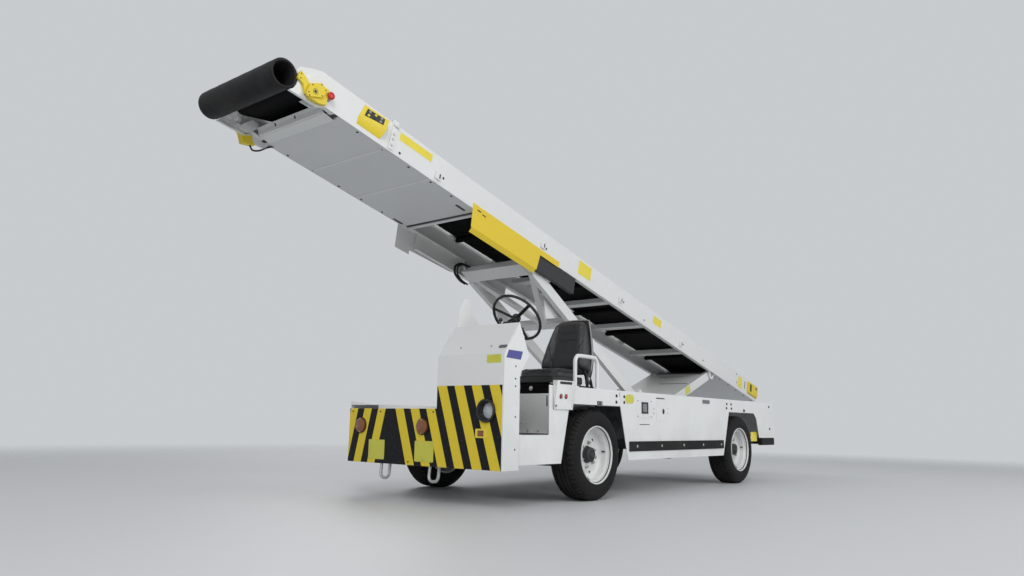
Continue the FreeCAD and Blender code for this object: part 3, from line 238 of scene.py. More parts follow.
def hexagon(radius=0.012, height=0.009, washer=1.35):
    """A six-sided bolt head with its corners turned down, standing on a round washer."""
    head = lathe([(0, height), (0.86 * radius, height), (radius, 0.82 * height), (radius, 0.002),
        (0, 0.002)], 6, "z")
    ring = lathe([(0, 0.0024), (washer * radius, 0.0024), (washer * radius, 0), (0, 0)], 14, "z")
    return merge(head, ring)


# ------------------------------------------------------------------ making pieces

def rows_of(mesh, key="co"):
    """The places of the mesh's points, or another measure with three parts, row by row."""
    values = np.empty(len(mesh.vertices) * 3)
    mesh.vertices.foreach_get(key, values)
    return values.reshape(-1, 3)


def finish(mesh):
    """Closes seams and poles by merging doubles, then points every face outwards."""
    work = bmesh.new()
    work.from_mesh(mesh)
    bmesh.ops.remove_doubles(work, verts=work.verts, dist=2e-06)
    bmesh.ops.recalc_face_normals(work, faces=work.faces)
    for face in work.faces:
        face.smooth = True
    work.to_mesh(mesh)
    work.free()


def bevelled(piece, width):
    """Rounds the piece's edges of more than 32 degrees, and keeps its flat faces flat."""
    if width:
        edge = piece.modifiers.new("Edges", "BEVEL")
        edge.width, edge.segments = width, 2
        edge.limit_method, edge.angle_limit = "ANGLE", math.radians(32)
        edge.harden_normals, edge.use_clamp_overlap = True, False


def made(name, shape, paint, slot=None, bevel=0.0, body="chassis", place=BODY, replaces=(),
        sharp=None):
    """A piece from a shape: put in its place, painted, and riding on a body."""
    points, faces = shape
    mesh = bpy.data.meshes.new(name)
    mesh.from_pydata(place.put(points).tolist(), [], faces)
    finish(mesh)
    piece = bpy.data.objects.new(name, mesh)
    bpy.context.scene.collection.objects.link(piece)
    mesh.materials.append(paint)
    if sharp or not bevel:
        mesh.set_sharp_from_angle(angle=math.radians(sharp or 38))
    bevelled(piece, bevel)
    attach(piece, body)
    if replaces:
        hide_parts(*replaces)
    return piece


def edged(node, paint, width=0.0015, folds=24):
    """A copy of a frame node with its flat triangles paired and its edges rounded."""
    mesh = frame["nodes"][node].data.copy()
    work = bmesh.new()
    work.from_mesh(mesh)
    bmesh.ops.remove_doubles(work, verts=work.verts, dist=2e-05)
    bmesh.ops.join_triangles(work, faces=work.faces, angle_face_threshold=math.radians(0.4),
        angle_shape_threshold=math.radians(180))
    for face in work.faces:
        face.smooth = True
    work.to_mesh(mesh)
    work.free()
    if folds:
        mesh.set_sharp_from_angle(angle=math.radians(folds))
    mesh.materials.clear()
    mesh.materials.append(paint)
    piece = bpy.data.objects.new(node + "_edged", mesh)
    bpy.context.scene.collection.objects.link(piece)
    bevelled(piece, width)
    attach(piece, frame["nodes"][node]["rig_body"])
    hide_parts(node)
    return piece


# ------------------------------------------------------------------ finishes

def shade(colour, share, lift=0.0):
    """The colour times a share, plus a little grey, held at 1."""
    return tuple(min(1, share * c + lift) for c in colour)


class Value:
    """A shader socket. Arithmetic on it adds the Math node that works it out."""

    def __init__(self, paint, socket):
        self.paint, self.socket = paint, socket

    def math(self, operation, first, second=0.0):
        return self.paint.node("ShaderNodeMath", {"operation": operation}, {0: first, 1: second})

    def __add__(self, other):
        return self.math("ADD", self, other)

    def __sub__(self, other):
        return self.math("SUBTRACT", self, other)

    def __rsub__(self, other):
        return self.math("SUBTRACT", other, self)

    def __mul__(self, other):
        return self.math("MULTIPLY", self, other)

    def __truediv__(self, other):
        return self.math("DIVIDE", self, other)

    def __mod__(self, other):
        return self.math("FLOORED_MODULO", self, other)

    def __pow__(self, other):
        return self.math("POWER", self, other)

    def __gt__(self, other):
        return self.math("GREATER_THAN", self, other)

    def __lt__(self, other):
        return self.math("LESS_THAN", self, other)

    def __abs__(self):
        return self.math("ABSOLUTE", self)

    __radd__, __rmul__ = __add__, __mul__

    def least(self, other):
        return self.math("MINIMUM", self, other)

    def most(self, other):
        return self.math("MAXIMUM", self, other)

    def fade(self, low, high):
        """0 at low and below, 1 at high and above, and a smooth step between them."""
        return self.paint.node("ShaderNodeMapRange", {"interpolation_type": "SMOOTHSTEP"},
            {0: self, 1: low, 2: high})


class Paint:
    """A finish that is being put together from nodes round one Principled shader."""

    def __init__(self, name, colour=(0.5, 0.5, 0.5), rough=0.5, metal=0.0, **fixed):
        self.material = bpy.data.materials.new(name)
        self.material.use_nodes = True
        self.tree = self.material.node_tree
        self.tree.nodes.clear()
        self.shader = self.tree.nodes.new("ShaderNodeBsdfPrincipled")
        self.output = self.tree.nodes.new("ShaderNodeOutputMaterial")
        self.tree.links.new(self.shader.outputs[0], self.output.inputs[0])
        self.set(Base_Color=colour, Roughness=rough, Metallic=metal, **fixed)

    def feed(self, socket, value):
        if isinstance(value, Value):
            self.tree.links.new(value.socket, socket)
        elif socket.type == "RGBA":
            socket.default_value = (*value[:3], 1.0)
        else:
            socket.default_value = value

    def node(self, kind, settings=None, sockets=None, output=0):
        """Adds a node: its settings first, then the values or links of its sockets."""
        made_node = self.tree.nodes.new(kind)
        for name, value in (settings or {}).items():
            setattr(made_node, name, value)
        for key, value in (sockets or {}).items():
            self.feed(made_node.inputs[key], value)
        return Value(self, made_node.outputs[output])

    def set(self, **sockets):
        for name, value in sockets.items():
            self.feed(self.shader.inputs[name.replace("_", " ")], value)
        return self.material

    def position(self, scale=(1, 1, 1), turn=(0, 0, 0)):
        here = self.node("ShaderNodeTexCoord", output=3)
        return self.node("ShaderNodeMapping", None, {0: here, 2: turn, 3: scale})

    def axes(self, vector):
        parts = self.node("ShaderNodeSeparateXYZ", None, {0: vector})
        return [Value(self, s) for s in parts.socket.node.outputs]

    def noise(self, scale, detail=3.0, rough=0.5, vector=None):
        return self.node("ShaderNodeTexNoise", None, {"Vector": vector or self.position(),
            "Scale": scale, "Detail": detail, "Roughness": rough})

    def cells(self, scale, feature):
        return self.node("ShaderNodeTexVoronoi", {"feature": feature},
            {"Vector": self.position(), "Scale": scale})

    def mix(self, factor, first, second):
        """The first colour where the factor is 0 and the second where it is 1."""
        blend = self.tree.nodes.new("ShaderNodeMix")
        blend.data_type = "RGBA"
        for index, value in ((0, factor), (6, first), (7, second)):
            self.feed(blend.inputs[index], value)
        return Value(self, blend.outputs[2])

    def bump(self, height, distance, strength):
        return self.node("ShaderNodeBump", None, {"Height": height, "Distance": distance,
            "Strength": strength})


def sprayed(name, colour, rough=0.3, dust=0.35, coat=0.25, chips=True):
    """Sprayed paint: orange peel, road dust that thins with height, scuffs and small chips."""
    paint = Paint(name, colour, rough, Coat_Weight=coat, Coat_Roughness=0.12)
    z = paint.axes(paint.position())[2]
    cloud = paint.noise(2.3, 4, 0.6)
    fine = paint.noise(28, 5, 0.65)
    low = 1 - z.fade(0.15, 1.1)
    grime = (low * dust * cloud.fade(0.35, 0.75) + fine.fade(0.62, 0.8) * 0.1).least(1.0)
    streaks = paint.noise(1.0, 3, 0.6, paint.position((14, 14, 0.9))).fade(0.55, 0.78) * 0.1
    dirty = paint.mix(grime + streaks * low, colour, shade(colour, 0.45, 0.02))
    tone = paint.mix(cloud.fade(0.3, 0.8) * 0.35, dirty, shade(colour, 0.93))
    if chips:
        chip = paint.noise(46, 2, 0.4).fade(0.735, 0.75) * paint.noise(3.1).fade(0.5, 0.62)
        tone = paint.mix(chip * 0.8, tone, shade(colour, 0.3))
    peel = paint.noise(420, 2, 0.5) * 0.5 + paint.noise(60, 3, 0.5)
    paint.set(Base_Color=tone, Roughness=rough + grime * 0.45 + cloud * 0.06,
        Normal=paint.bump(peel, 0.0004, 0.18))
    return paint.material


def hazard():
    """White body paint with a film of slanting black and yellow bars on the front faces.

    The bars lean one way left of the black middle and the other way right of it: sideways
    distance plus slope times height, cut by the pitch of the bars, chooses the colour.
    """
    white, yellow, black = (0.8, 0.81, 0.8), (0.78, 0.6, 0.045), (0.006, 0.006, 0.008)
    right_pitch, left_pitch = 0.162, 0.158
    paint = Paint("hazard_film", white, 0.3, Specular_IOR_Level=0.2)
    x, _, z = paint.axes(paint.position())
    normal = paint.axes(paint.node("ShaderNodeNewGeometry", output=1))
    right = (x + (z - 0.826) * 0.327 - 0.297 + 10 * right_pitch) % right_pitch
    right_bar = (right < 0.088) * (x + (z - 0.826) * 0.327 > -0.2)
    left = (-0.243 + (z - 0.669) * 0.25 - x + 10 * left_pitch) % left_pitch
    left_bar = (left < 0.084) * (x < -0.243 + (z - 0.669) * 0.25)
    bar = right_bar.most(left_bar)
    top = 0.668 + (x > 0.291) * 0.16
    film = (normal[1] < -0.4) * (z < top) * (x < 0.897)
    scuff = paint.noise(34, 6, 0.7).fade(0.56, 0.72)
    wear = paint.noise(5, 4, 0.6).fade(0.55, 0.8)
    gold = paint.mix(wear * 0.5, yellow, (0.62, 0.44, 0.03))
    ink = paint.mix(scuff * 0.5, black, (0.07, 0.066, 0.06))
    bars = paint.mix(bar, ink, gold)
    low = (1 - z.fade(0.2, 0.62)) * scuff
    bars = paint.mix(low * 0.22, bars, (0.16, 0.145, 0.12))
    weave = paint.cells(260, "DISTANCE_TO_EDGE")
    paint.set(Base_Color=paint.mix(film, white, bars), Roughness=0.3 + film * 0.12 + low * 0.3,
        Normal=paint.bump(film * 1.0 + film * weave.fade(0.0, 0.2) * 0.15, 0.0006, 0.5))
    return paint.material


def rubber(name, colour=(0.011, 0.011, 0.012), rough=0.78, grain=220, dust=0.3):
    """Moulded rubber: pitted skin, paler where dust lies, duller where it is dusty."""
    paint = Paint(name, colour, rough, Specular_IOR_Level=0.2)
    cloud = paint.noise(5, 5, 0.65).fade(0.42, 0.75)
    pits = paint.noise(grain, 3, 0.6)
    tone = paint.mix(cloud * dust, colour, (0.085, 0.08, 0.073))
    paint.set(Base_Color=tone, Roughness=rough - 0.12 + cloud * 0.2,
        Normal=paint.bump(pits, 0.0008, 0.5))
    return paint.material


def tread_rubber():
    """Tyre rubber: black walls, brown dust on the tread and rings of fine moulding lines."""
    paint = Paint("tyre_rubber", (0.015, 0.015, 0.016), 0.8, Specular_IOR_Level=0.18)
    dust = paint.node("ShaderNodeAttribute", {"attribute_name": "dust"}, output=2)
    cloud = paint.noise(9, 6, 0.7)
    layer = (dust * cloud.fade(0.25, 0.7)).least(1.0)
    tone = paint.mix(layer * 0.4, (0.006, 0.006, 0.007), (0.06, 0.056, 0.05))
    paint.set(Base_Color=tone, Roughness=0.62 + layer * 0.3,
        Normal=paint.bump(paint.noise(340, 3, 0.6), 0.0006, 0.45))
    return paint.material


def leatherette():
    """Black seat vinyl: pebbled grain of two cell sizes, soft creases and worn shine."""
    paint = Paint("seat_vinyl", (0.016, 0.016, 0.018), 0.38, Sheen_Weight=0.12,
        Sheen_Roughness=0.4)
    grain = paint.cells(330, "DISTANCE_TO_EDGE").fade(0.0, 0.35)
    fine = paint.cells(760, "DISTANCE_TO_EDGE").fade(0.0, 0.3)
    crease = paint.noise(16, 4, 0.6, paint.position((1, 2.4, 1)))
    wear = paint.noise(4, 3, 0.5).fade(0.5, 0.75)
    height = grain * 0.6 + fine * 0.25 + crease * 0.9
    paint.set(Base_Color=paint.mix(wear * 0.5, (0.013, 0.013, 0.015), (0.032, 0.032, 0.034)),
        Roughness=0.34 + grain * 0.1 + crease * 0.12 - wear * 0.06,
        Normal=paint.bump(height, 0.0007, 0.55))
    return paint.material


def steel(name, colour=(0.5, 0.5, 0.5), rough=0.34, brushed=(1, 1, 1)):
    """Bare or plated steel: fine drawn lines and slight staining."""
    paint = Paint(name, colour, rough, 1.0)
    lines = paint.noise(90, 3, 0.6, paint.position(brushed))
    stain = paint.noise(14, 4, 0.6).fade(0.5, 0.8)
    paint.set(Base_Color=paint.mix(stain * 0.45, colour, shade(colour, 0.5)),
        Roughness=rough + lines * 0.12 + stain * 0.18, Normal=paint.bump(lines, 0.0003, 0.25))
    return paint.material


def belt_rubber():
    """Conveyor belt: rough cross-hatched top, two sets of ribs crossed at a slant."""
    paint = Paint("belt_rubber", (0.014, 0.014, 0.015), 0.72, Specular_IOR_Level=0.06)
    x, y, _ = paint.axes(paint.position(turn=(-CONVEYOR.tilt, 0, 0)))
    first = abs((x + y) / 0.012 % 1.0 - 0.5)
    second = abs((x - y) / 0.012 % 1.0 - 0.5)
    ribs = first.least(second).fade(0.08, 0.3)
    cloud = paint.noise(3.2, 5, 0.65).fade(0.4, 0.75)
    tone = paint.mix(cloud * 0.35, (0.007, 0.007, 0.008), (0.03, 0.029, 0.027))
    paint.set(Base_Color=tone, Roughness=0.66 + cloud * 0.2,
        Normal=paint.bump(ribs + paint.noise(300, 2, 0.5) * 0.2, 0.0015, 0.6))
    return paint.material


def plastic(name, colour, rough=0.42, grain=0.25):
    """Moulded plastic: spark-eroded grain and slight fading."""
    paint = Paint(name, colour, rough)
    fade = paint.noise(6, 4, 0.6).fade(0.4, 0.8)
    paint.set(Base_Color=paint.mix(fade * 0.4, colour, shade(colour, 0.85, 0.012)),
        Roughness=rough + fade * 0.1, Normal=paint.bump(paint.noise(520, 2, 0.5), 0.0005, grain))
    return paint.material


def lens(name, colour):
    """Moulded lamp glass: deep colour under a clear skin, with fine optic ribs below it."""
    paint = Paint(name, colour, 0.16, Coat_Weight=0.8, Coat_Roughness=0.05)
    x, _, z = paint.axes(paint.position())
    ribs = abs(x / 0.006 % 1.0 - 0.5) + abs(z / 0.006 % 1.0 - 0.5)
    rim = paint.noise(30, 2, 0.5)
    paint.set(Base_Color=paint.mix(ribs.fade(0.3, 0.9) * 0.5 + rim * 0.2, colour,
        shade(colour, 0.45)), Roughness=0.14 + rim * 0.08, Normal=paint.bump(ribs, 0.0012, 0.5))
    return paint.material


def plate(name, colour):
    """A printed plate's film: satin ink with faint scratches and grubby patches."""
    paint = Paint(name, colour, 0.36, Coat_Weight=0.35, Coat_Roughness=0.15)
    scratch = paint.noise(60, 3, 0.7, paint.position((1, 6, 9))).fade(0.62, 0.7)
    dirt = paint.noise(9, 5, 0.65).fade(0.5, 0.8)
    tone = paint.mix(dirt * 0.3, colour, shade(colour, 0.55))
    paint.set(Base_Color=paint.mix(scratch * 0.3, tone, shade(colour, 0.6, 0.2)),
        Roughness=0.32 + dirt * 0.25 + scratch * 0.1, Normal=paint.bump(scratch, 0.0002, 0.3))
    return paint.material


def cast(name, colour):
    """Painted casting: sandy skin, oil-dark hollows and a few bare spots."""
    paint = Paint(name, colour, 0.55)
    oil = paint.noise(7, 5, 0.7).fade(0.45, 0.75)
    skin = paint.noise(150, 4, 0.7)
    paint.set(Base_Color=paint.mix(oil * 0.6, colour, (0.02, 0.018, 0.016)),
        Roughness=0.6 - oil * 0.2, Normal=paint.bump(skin, 0.001, 0.5))
    return paint.material


BODY_WHITE = sprayed("body_white", (0.8, 0.81, 0.8), 0.26)
LIFT_WHITE = sprayed("lift_white", (0.76, 0.77, 0.76), 0.36, dust=0.25, coat=0.1)
PAN_GREY = sprayed("pan_grey", (0.66, 0.67, 0.68), 0.42, dust=0.2, coat=0.0, chips=False)
RIM_WHITE = sprayed("rim_white", (0.74, 0.75, 0.74), 0.34, dust=0.5, coat=0.1)
GUARD_YELLOW = sprayed("guard_yellow", (0.8, 0.58, 0.02), 0.32, dust=0.1)
BOX_YELLOW = plastic("box_yellow", (0.78, 0.6, 0.02), 0.38)
FRAME_BLACK = sprayed("frame_black", (0.022, 0.022, 0.024), 0.42, dust=0.6, coat=0.0)
HAZARD = hazard()
RUBBER = rubber("strip_rubber")
ROLL_RUBBER = rubber("nose_rubber", rough=0.66, grain=90, dust=0.35)
TYRE = tread_rubber()
VINYL = leatherette()
BELT = belt_rubber()
ZINC = steel("zinc_plate", (0.55, 0.55, 0.53), 0.38)
CHROME = steel("rod_chrome", (0.78, 0.78, 0.8), 0.12, (1, 1, 6))
MACHINED = steel("machined_steel", (0.42, 0.42, 0.42), 0.36)
DARK_BOLT = steel("dark_bolt", (0.06, 0.06, 0.062), 0.45)
BLACK = plastic("black_plastic", (0.016, 0.016, 0.017), 0.45)
WHEEL_GRIP = plastic("wheel_grip", (0.013, 0.013, 0.014), 0.4, 0.4)
HOSE = rubber("hose_rubber", rough=0.6, grain=400, dust=0.15)
GREY_PANE = plastic("gauge_pane", (0.26, 0.29, 0.31), 0.2, 0.05)
RED_KNOB = plastic("stop_red", (0.52, 0.015, 0.012), 0.32, 0.1)
GREY_BASE = plastic("stop_grey", (0.34, 0.34, 0.33), 0.45)
RED_LENS = lens("red_lens", (0.55, 0.02, 0.03))
AMBER_LENS = lens("amber_lens", (0.26, 0.065, 0.005))
HEAD_GLASS = lens("head_glass", (0.6, 0.63, 0.66))
REFLECTOR = steel("reflector", (0.8, 0.8, 0.8), 0.12)
LIME_PLATE = plate("sign_lime", (0.62, 0.6, 0.06))
YELLOW_PLATE = plate("sign_yellow", (0.82, 0.68, 0.04))
BLUE_PLATE = plate("sign_blue", (0.07, 0.07, 0.3))
GREY_PLATE = plate("sign_grey", (0.12, 0.12, 0.13))
CASTING = cast("engine_casting", (0.14, 0.15, 0.16))
FORGED = steel("forged_loop", (0.5, 0.5, 0.5), 0.5)
GRIT = rubber("grip_tape", (0.03, 0.03, 0.031), 0.9, 700, 0.4)


# ------------------------------------------------------------------ camera, light and floor

def posed(turn, place):
    """The four by four matrix of a turn followed by a move."""
    return Matrix.Translation([float(v) for v in place]) @ Matrix(turn.tolist()).to_4x4()


def camera():
    """The eye stands low at the front left, its picture turned one degree.

    Its focal length is 0.751 of the picture's width.
    """
    right = np.array([0.77929, 0.62641, 0.01792])
    up = np.array([0.09417, -0.14533, 0.98489])
    look = np.cross(up, right)
    eye = bpy.data.objects.new("Eye", bpy.data.cameras.new("Eye"))
    eye.data.sensor_width, eye.data.lens = 36.0, 36.0 * 0.75146484375
    eye.data.clip_start, eye.data.clip_end = 0.05, 200
    place = (4.1916, -5.1461 + AXLE[1], 0.5793)
    eye.matrix_world = posed(np.column_stack([right, up, -look]), place)
    bpy.context.scene.collection.objects.link(eye)
    bpy.context.scene.camera = eye


def lamp(name, place, aim, size, power):
    """A soft square lamp at a place, turned to face its aim."""
    light = bpy.data.lights.new(name, "AREA")
    light.shape, light.size, light.energy = "SQUARE", size, power
    holder = bpy.data.objects.new(name, light)
    holder.matrix_world = posed(facing(np.array(place, float) - np.array(aim, float)), place)
    bpy.context.scene.collection.objects.link(holder)


def studio():
    """Even pale surroundings, a broad key from the front left, and a floor that fades out."""
    world = bpy.data.worlds.new("Studio")
    bpy.context.scene.world = world
    world.use_nodes = True
    tree = world.node_tree
    tree.nodes.clear()
    ray = tree.nodes.new("ShaderNodeLightPath")
    seen = [ray.outputs[n] for n in ("Is Camera Ray", "Is Glossy Ray", "Is Transmission Ray")]
    for k in (1, 2):
        add = tree.nodes.new("ShaderNodeMath")
        add.operation = "MAXIMUM"
        tree.links.new(seen[0], add.inputs[0])
        tree.links.new(seen[k], add.inputs[1])
        seen[0] = add.outputs[0]
    shown, glow = [tree.nodes.new("ShaderNodeBackground") for _ in range(2)]
    shown.inputs[0].default_value = (0.58, 0.6, 0.62, 1)
    glow.inputs[0].default_value = (0.93, 0.96, 1.0, 1)
    glow.inputs[1].default_value = 0.36
    pick, out = tree.nodes.new("ShaderNodeMixShader"), tree.nodes.new("ShaderNodeOutputWorld")
    tree.links.new(seen[0], pick.inputs[0])
    tree.links.new(glow.outputs[0], pick.inputs[1])
    tree.links.new(shown.outputs[0], pick.inputs[2])
    tree.links.new(pick.outputs[0], out.inputs[0])
    lamp("Key", (6.5, -10.0, 7.5), (0, 0, 1), 6.0, 560)
    lamp("Fill", (11.0, 1.0, 5.0), (0, 0.5, 1), 6.0, 430)
    lamp("Rim", (-8.5, 5.0, 7.5), (0, 0, 1), 6.0, 260)
    ground = Paint("studio_floor", (0.66, 0.67, 0.68), 0.6)
    x, y, _ = ground.axes(ground.position())
    away = (x * x + y * y) ** 0.5
    clear = ground.node("ShaderNodeBsdfTransparent")
    mixed = ground.node("ShaderNodeMixShader", None, {0: away.fade(7.0, 13.0),
        1: Value(ground, ground.shader.outputs[0]), 2: clear})
    ground.feed(ground.output.inputs[0], mixed)
    ground.set(Roughness=ground.noise(6, 3, 0.5) * 0.1 + 0.5)
    mesh = bpy.data.meshes.new("Floor")
    rim = np.column_stack([circle(14.0, 64), np.zeros(64)])
    mesh.from_pydata(rim.tolist(), [], [list(range(64))])
    mesh.materials.append(ground.material)
    floor = bpy.data.objects.new("Floor", mesh)
    bpy.context.scene.collection.objects.link(floor)
    bpy.context.scene.view_settings.view_transform = "Standard"


camera()
studio()


# ------------------------------------------------------------------ sheet metal and frame

edged("front_panel", HAZARD)
for sheet in ("console_hood", "console_sides", "driver_tub", "side_panels", "side_decks",
        "deck_walls", "bay_floor", "deck_supports", "rear_panel"):
    edged(sheet, BODY_WHITE)
for beam in ("chassis_rails", "cross_members", "lift_brackets", "front_axle", "rear_axle",
        "knuckle_left", "knuckle_right", "tie_rod", "steering_column", "seat_base"):
    edged(beam, FRAME_BLACK, 0.002)
for beam in ("front_arm", "rear_arm"):
    edged(beam, LIFT_WHITE, 0.002)
web_steel = edged("conveyor_frame", LIFT_WHITE, 0.002).data
# painted shade: the track plates' faces below the webs, from y' -4.42 to -3.05, take the black
# finish to stand for the shade there
web_steel.materials.append(BLACK)
for sheet_face in web_steel.polygons:
    middle_x, middle_y, middle_z = CONVEYOR.back([sheet_face.center])[0]
    painted_shade_patch = abs(middle_x) > 0.34 and middle_z < -0.004 and (-4.42 < middle_y < -3.05)
    sheet_face.material_index = int(painted_shade_patch and (middle_x > 0 or sheet_face.normal.x < -0.7))
edged("tow_loops", FORGED, 0.0)
edged("conveyor_pans", PAN_GREY, 0.0008)
guards = edged("conveyor_guards", GUARD_YELLOW, 0.001).data
guards.materials.append(LIFT_WHITE)
for sheet_face in guards.polygons:
    sheet_face.material_index = int(sheet_face.center[0] < PIN[0])
edged("engine_block", CASTING, 0.01)
edged("rubber_strips", RUBBER, 0.004)
edged("belt_pulleys", MACHINED, 0.001)
for part, paint, slot in (("pivot_shaft", MACHINED, "machined_steel"),
        ("front_rods", CHROME, "rod_chrome"), ("rear_rods", CHROME, "rod_chrome"),
        ("front_barrels", FRAME_BLACK, "black_steel"),
        ("rear_barrels", FRAME_BLACK, "black_steel")):
    edged(part, paint, 0.0, 30)


# ------------------------------------------------------------------ wheels

TYRE_SECTION = np.array([(0.206, -0.094), (0.209, -0.101), (0.216, -0.104), (0.222, -0.103),
    (0.226, -0.106), (0.24, -0.11), (0.258, -0.1135), (0.276, -0.115), (0.279, -0.1136),
    (0.283, -0.1136), (0.286, -0.1146), (0.303, -0.111), (0.316, -0.1065), (0.326, -0.1015),
    (0.332, -0.0965), (0.337, -0.088)])
GROOVES = (-0.054, -0.018, 0.018, 0.054)


def tyre_shape(side):
    """Section turned round the axle: walls, then tread with four waving grooves cut in it.

    The crown's radius is 0.345 less 0.3 times the square of the distance from the middle.
    A groove's foot is 9 mm lower, and its centre waves to both sides by 3 mm in each pitch.
    The outer ribs are cut into blocks by slots 7.5 mm deep in the last part of each pitch.
    """
    pitches = 56
    step = np.array([0.0, 0.7, 0.74, 0.96])
    turn = ((np.arange(pitches)[:, None] + step).ravel() * 2 * math.pi / pitches)[:, None]
    slot = np.tile([0.0, 0.0, 1.0, 1.0], pitches)[:, None]
    wave = 0.003 * np.tile([-1.0, 0.4, 1.0, 0.2], pitches)[:, None]
    across, deep, sway, rib = [], [], [], []
    for middle_of in GROOVES:
        across += [middle_of - 0.0048, middle_of - 0.0034, middle_of + 0.0034, middle_of + 0.0048]
        deep += [0, 0.009, 0.009, 0]
        sway += [1] * 4
        rib += [0] * 4
    for edge in (-0.08, -0.066, 0.066, 0.08):
        across.append(edge)
        deep.append(0)
        sway.append(0)
        rib.append(1)
    order = np.argsort(across)
    across, deep, sway, rib = (np.array(v, float)[order] for v in (across, deep, sway, rib))
    along = across + sway * wave
    radius = 0.345 - 0.3 * along ** 2 - deep - 0.0075 * rib * slot
    wall = TYRE_SECTION
    wall_r = np.repeat(wall[None, :, 0], len(turn), 0)
    wall_r[:, -1] -= 0.007 * slot[:, 0]
    wall_r[:, -2] -= 0.004 * slot[:, 0]
    wall_x = np.repeat(wall[None, :, 1], len(turn), 0)
    radius = np.hstack([wall_r, radius, wall_r[:, ::-1]])
    along = np.hstack([wall_x, along, -wall_x[:, ::-1]]) * side
    points = np.stack([along, radius * np.cos(turn), radius * np.sin(turn)], -1)
    return points.reshape(-1, 3), quads(len(turn), radius.shape[1], wrap_rows=True)


def rim_shape(side):
    """Wheel profile turned round the axle: curled lip, seats, deep well, cone and disc.

    Each pair is a radius and a distance outwards from the wheel's middle.
    """
    profile = [(0.2205, 0.104), (0.2215, 0.109), (0.219, 0.1125), (0.215, 0.112), (0.212, 0.1085),
        (0.209, 0.1), (0.206, 0.09), (0.2035, 0.076), (0.196, 0.07), (0.193, 0.06), (0.193, 0.034),
        (0.1915, 0.022), (0.184, 0.014), (0.164, 0.0085), (0.152, 0.005), (0.14, 0.006),
        (0.128, 0.011), (0.119, 0.015), (0.112, 0.016), (0.08, 0.016), (0.07, 0.0165),
        (0.067, 0.015), (0.066, 0.011), (0.066, -0.012)]
    profile = [(r, side * x) for r, x in profile]
    back = [(0.09, -0.012), (0.16, -0.015), (0.188, -0.006), (0.196, 0.01), (0.197, 0.056),
        (0.2, 0.064), (0.206, 0.072), (0.206, 0.06), (0.2035, -0.086), (0.206, -0.096),
        (0.212, -0.1085), (0.2205, -0.109), (0.2205, -0.104), (0.215, -0.1), (0.206, -0.094),
        (0.206, 0.094), (0.215, 0.1)]
    profile += [(r, side * x) for r, x in back]
    return lathe(profile, 72, hollow=True)


def round_axle(count, radius, start=0.0):
    """Points on a circle round the wheel's axle, one every equal part of a turn."""
    angle = start + np.arange(count) * 2 * math.pi / count
    return np.column_stack([0 * angle, radius * np.cos(angle), radius * np.sin(angle)])


def wheel(corner, side):
    """A tyre and rim, with lug nuts and hand holes on circles, valve, weight and dark hub; the
    hand holes are black discs of painted shade.
    """
    hub = Place(middle("tyre_" + corner))
    outwards = facing((side, 0, 0))

    def fitted(name, shape, paint, slot=None, **more):
        return made(name + corner, shape, paint, slot, body="wheel_" + corner, place=hub, **more)

    tyre = fitted("tread_", tyre_shape(side), TYRE, "tyre", replaces=["tyre_" + corner], sharp=35)
    away = rows_of(tyre.data) - hub.origin
    radius = np.hypot(away[:, 1], away[:, 2])
    dust = tyre.data.attributes.new("dust", "FLOAT", "POINT")
    dust.data.foreach_set("value", 0.25 + 0.75 * np.clip((radius - 0.322) / 0.014, 0, 1))
    fitted("wheel_rim_", rim_shape(side), RIM_WHITE, "rim_white", replaces=["rim_" + corner])
    circle_of_nuts = round_axle(6, 0.094, 0.35) + [0.016 * side, 0, 0]
    nuts = repeated(hexagon(0.0135, 0.015, 1.25), circle_of_nuts, outwards)
    studs = repeated(lathe([(0, 0.026), (0.006, 0.026), (0.0068, 0.024), (0.0068, 0)], 10, "z"),
        circle_of_nuts, outwards)
    fitted("wheel_nuts_", merge(nuts, studs), ZINC)
    # painted shade: each hand hole is a flat black disc lying on the rim's face
    holes = repeated(lathe([(0, 0.0012), (0.0125, 0.0012), (0.015, 0.0004), (0.015, 0)], 20, "z"),
        round_axle(6, 0.136, 0.35 + math.pi / 6) + [0.0068 * side, 0, 0], outwards)
    fitted("hand_holes_", holes, BLACK)
    stem = [(0.036 * side, 0.178, 0.02), (0.046 * side, 0.18, 0.02), (0.058 * side, 0.183, 0.02)]
    valve = merge(sweep(stem, circle(0.0055, 12), (0, 0, 1)),
        sweep([stem[2], (0.064 * side, 0.185, 0.02)], circle(0.0042, 12), (0, 0, 1)))
    fitted("valve_", valve, BLACK)
    weight = sweep([(0.1135 * side, 0.214 * math.cos(a), 0.214 * math.sin(a))
        for a in np.linspace(-2.3, -2.12, 7)], rounded(0.006, 0.011, 0.002, 3), (1, 0, 0))
    fitted("balance_weight_", weight, ZINC)
    cap = [(0, 0.068), (0.02, 0.068), (0.023, 0.065), (0.024, 0.061), (0.046, 0.06),
        (0.0545, 0.056), (0.057, 0.049), (0.0572, 0.022), (0.06, 0.018), (0.0645, 0.015),
        (0.0645, -0.05), (0, -0.05)]
    bolts = repeated(hexagon(0.0055, 0.005), round_axle(8, 0.036) + [0.0605 * side, 0, 0],
        outwards)
    fitted("hub_", merge(lathe([(r, side * x) for r, x in cap], 40), bolts), FRAME_BLACK,
        "black_steel")


for corner, side in (("front_left", 1), ("front_right", -1), ("rear_left", 1), ("rear_right", -1)):
    wheel(corner, side)


# ------------------------------------------------------------------ nose of the body

FRONT = -1.155
HEAD = (0.76, 0.656)


def disc_on_front(profile, x, z, sides=48):
    """A profile of (radius, distance ahead of the front sheet) turned about a line along Y."""
    return lathe([(r, FRONT - ahead) for r, ahead in profile], sides, "y", (x, 0, z))


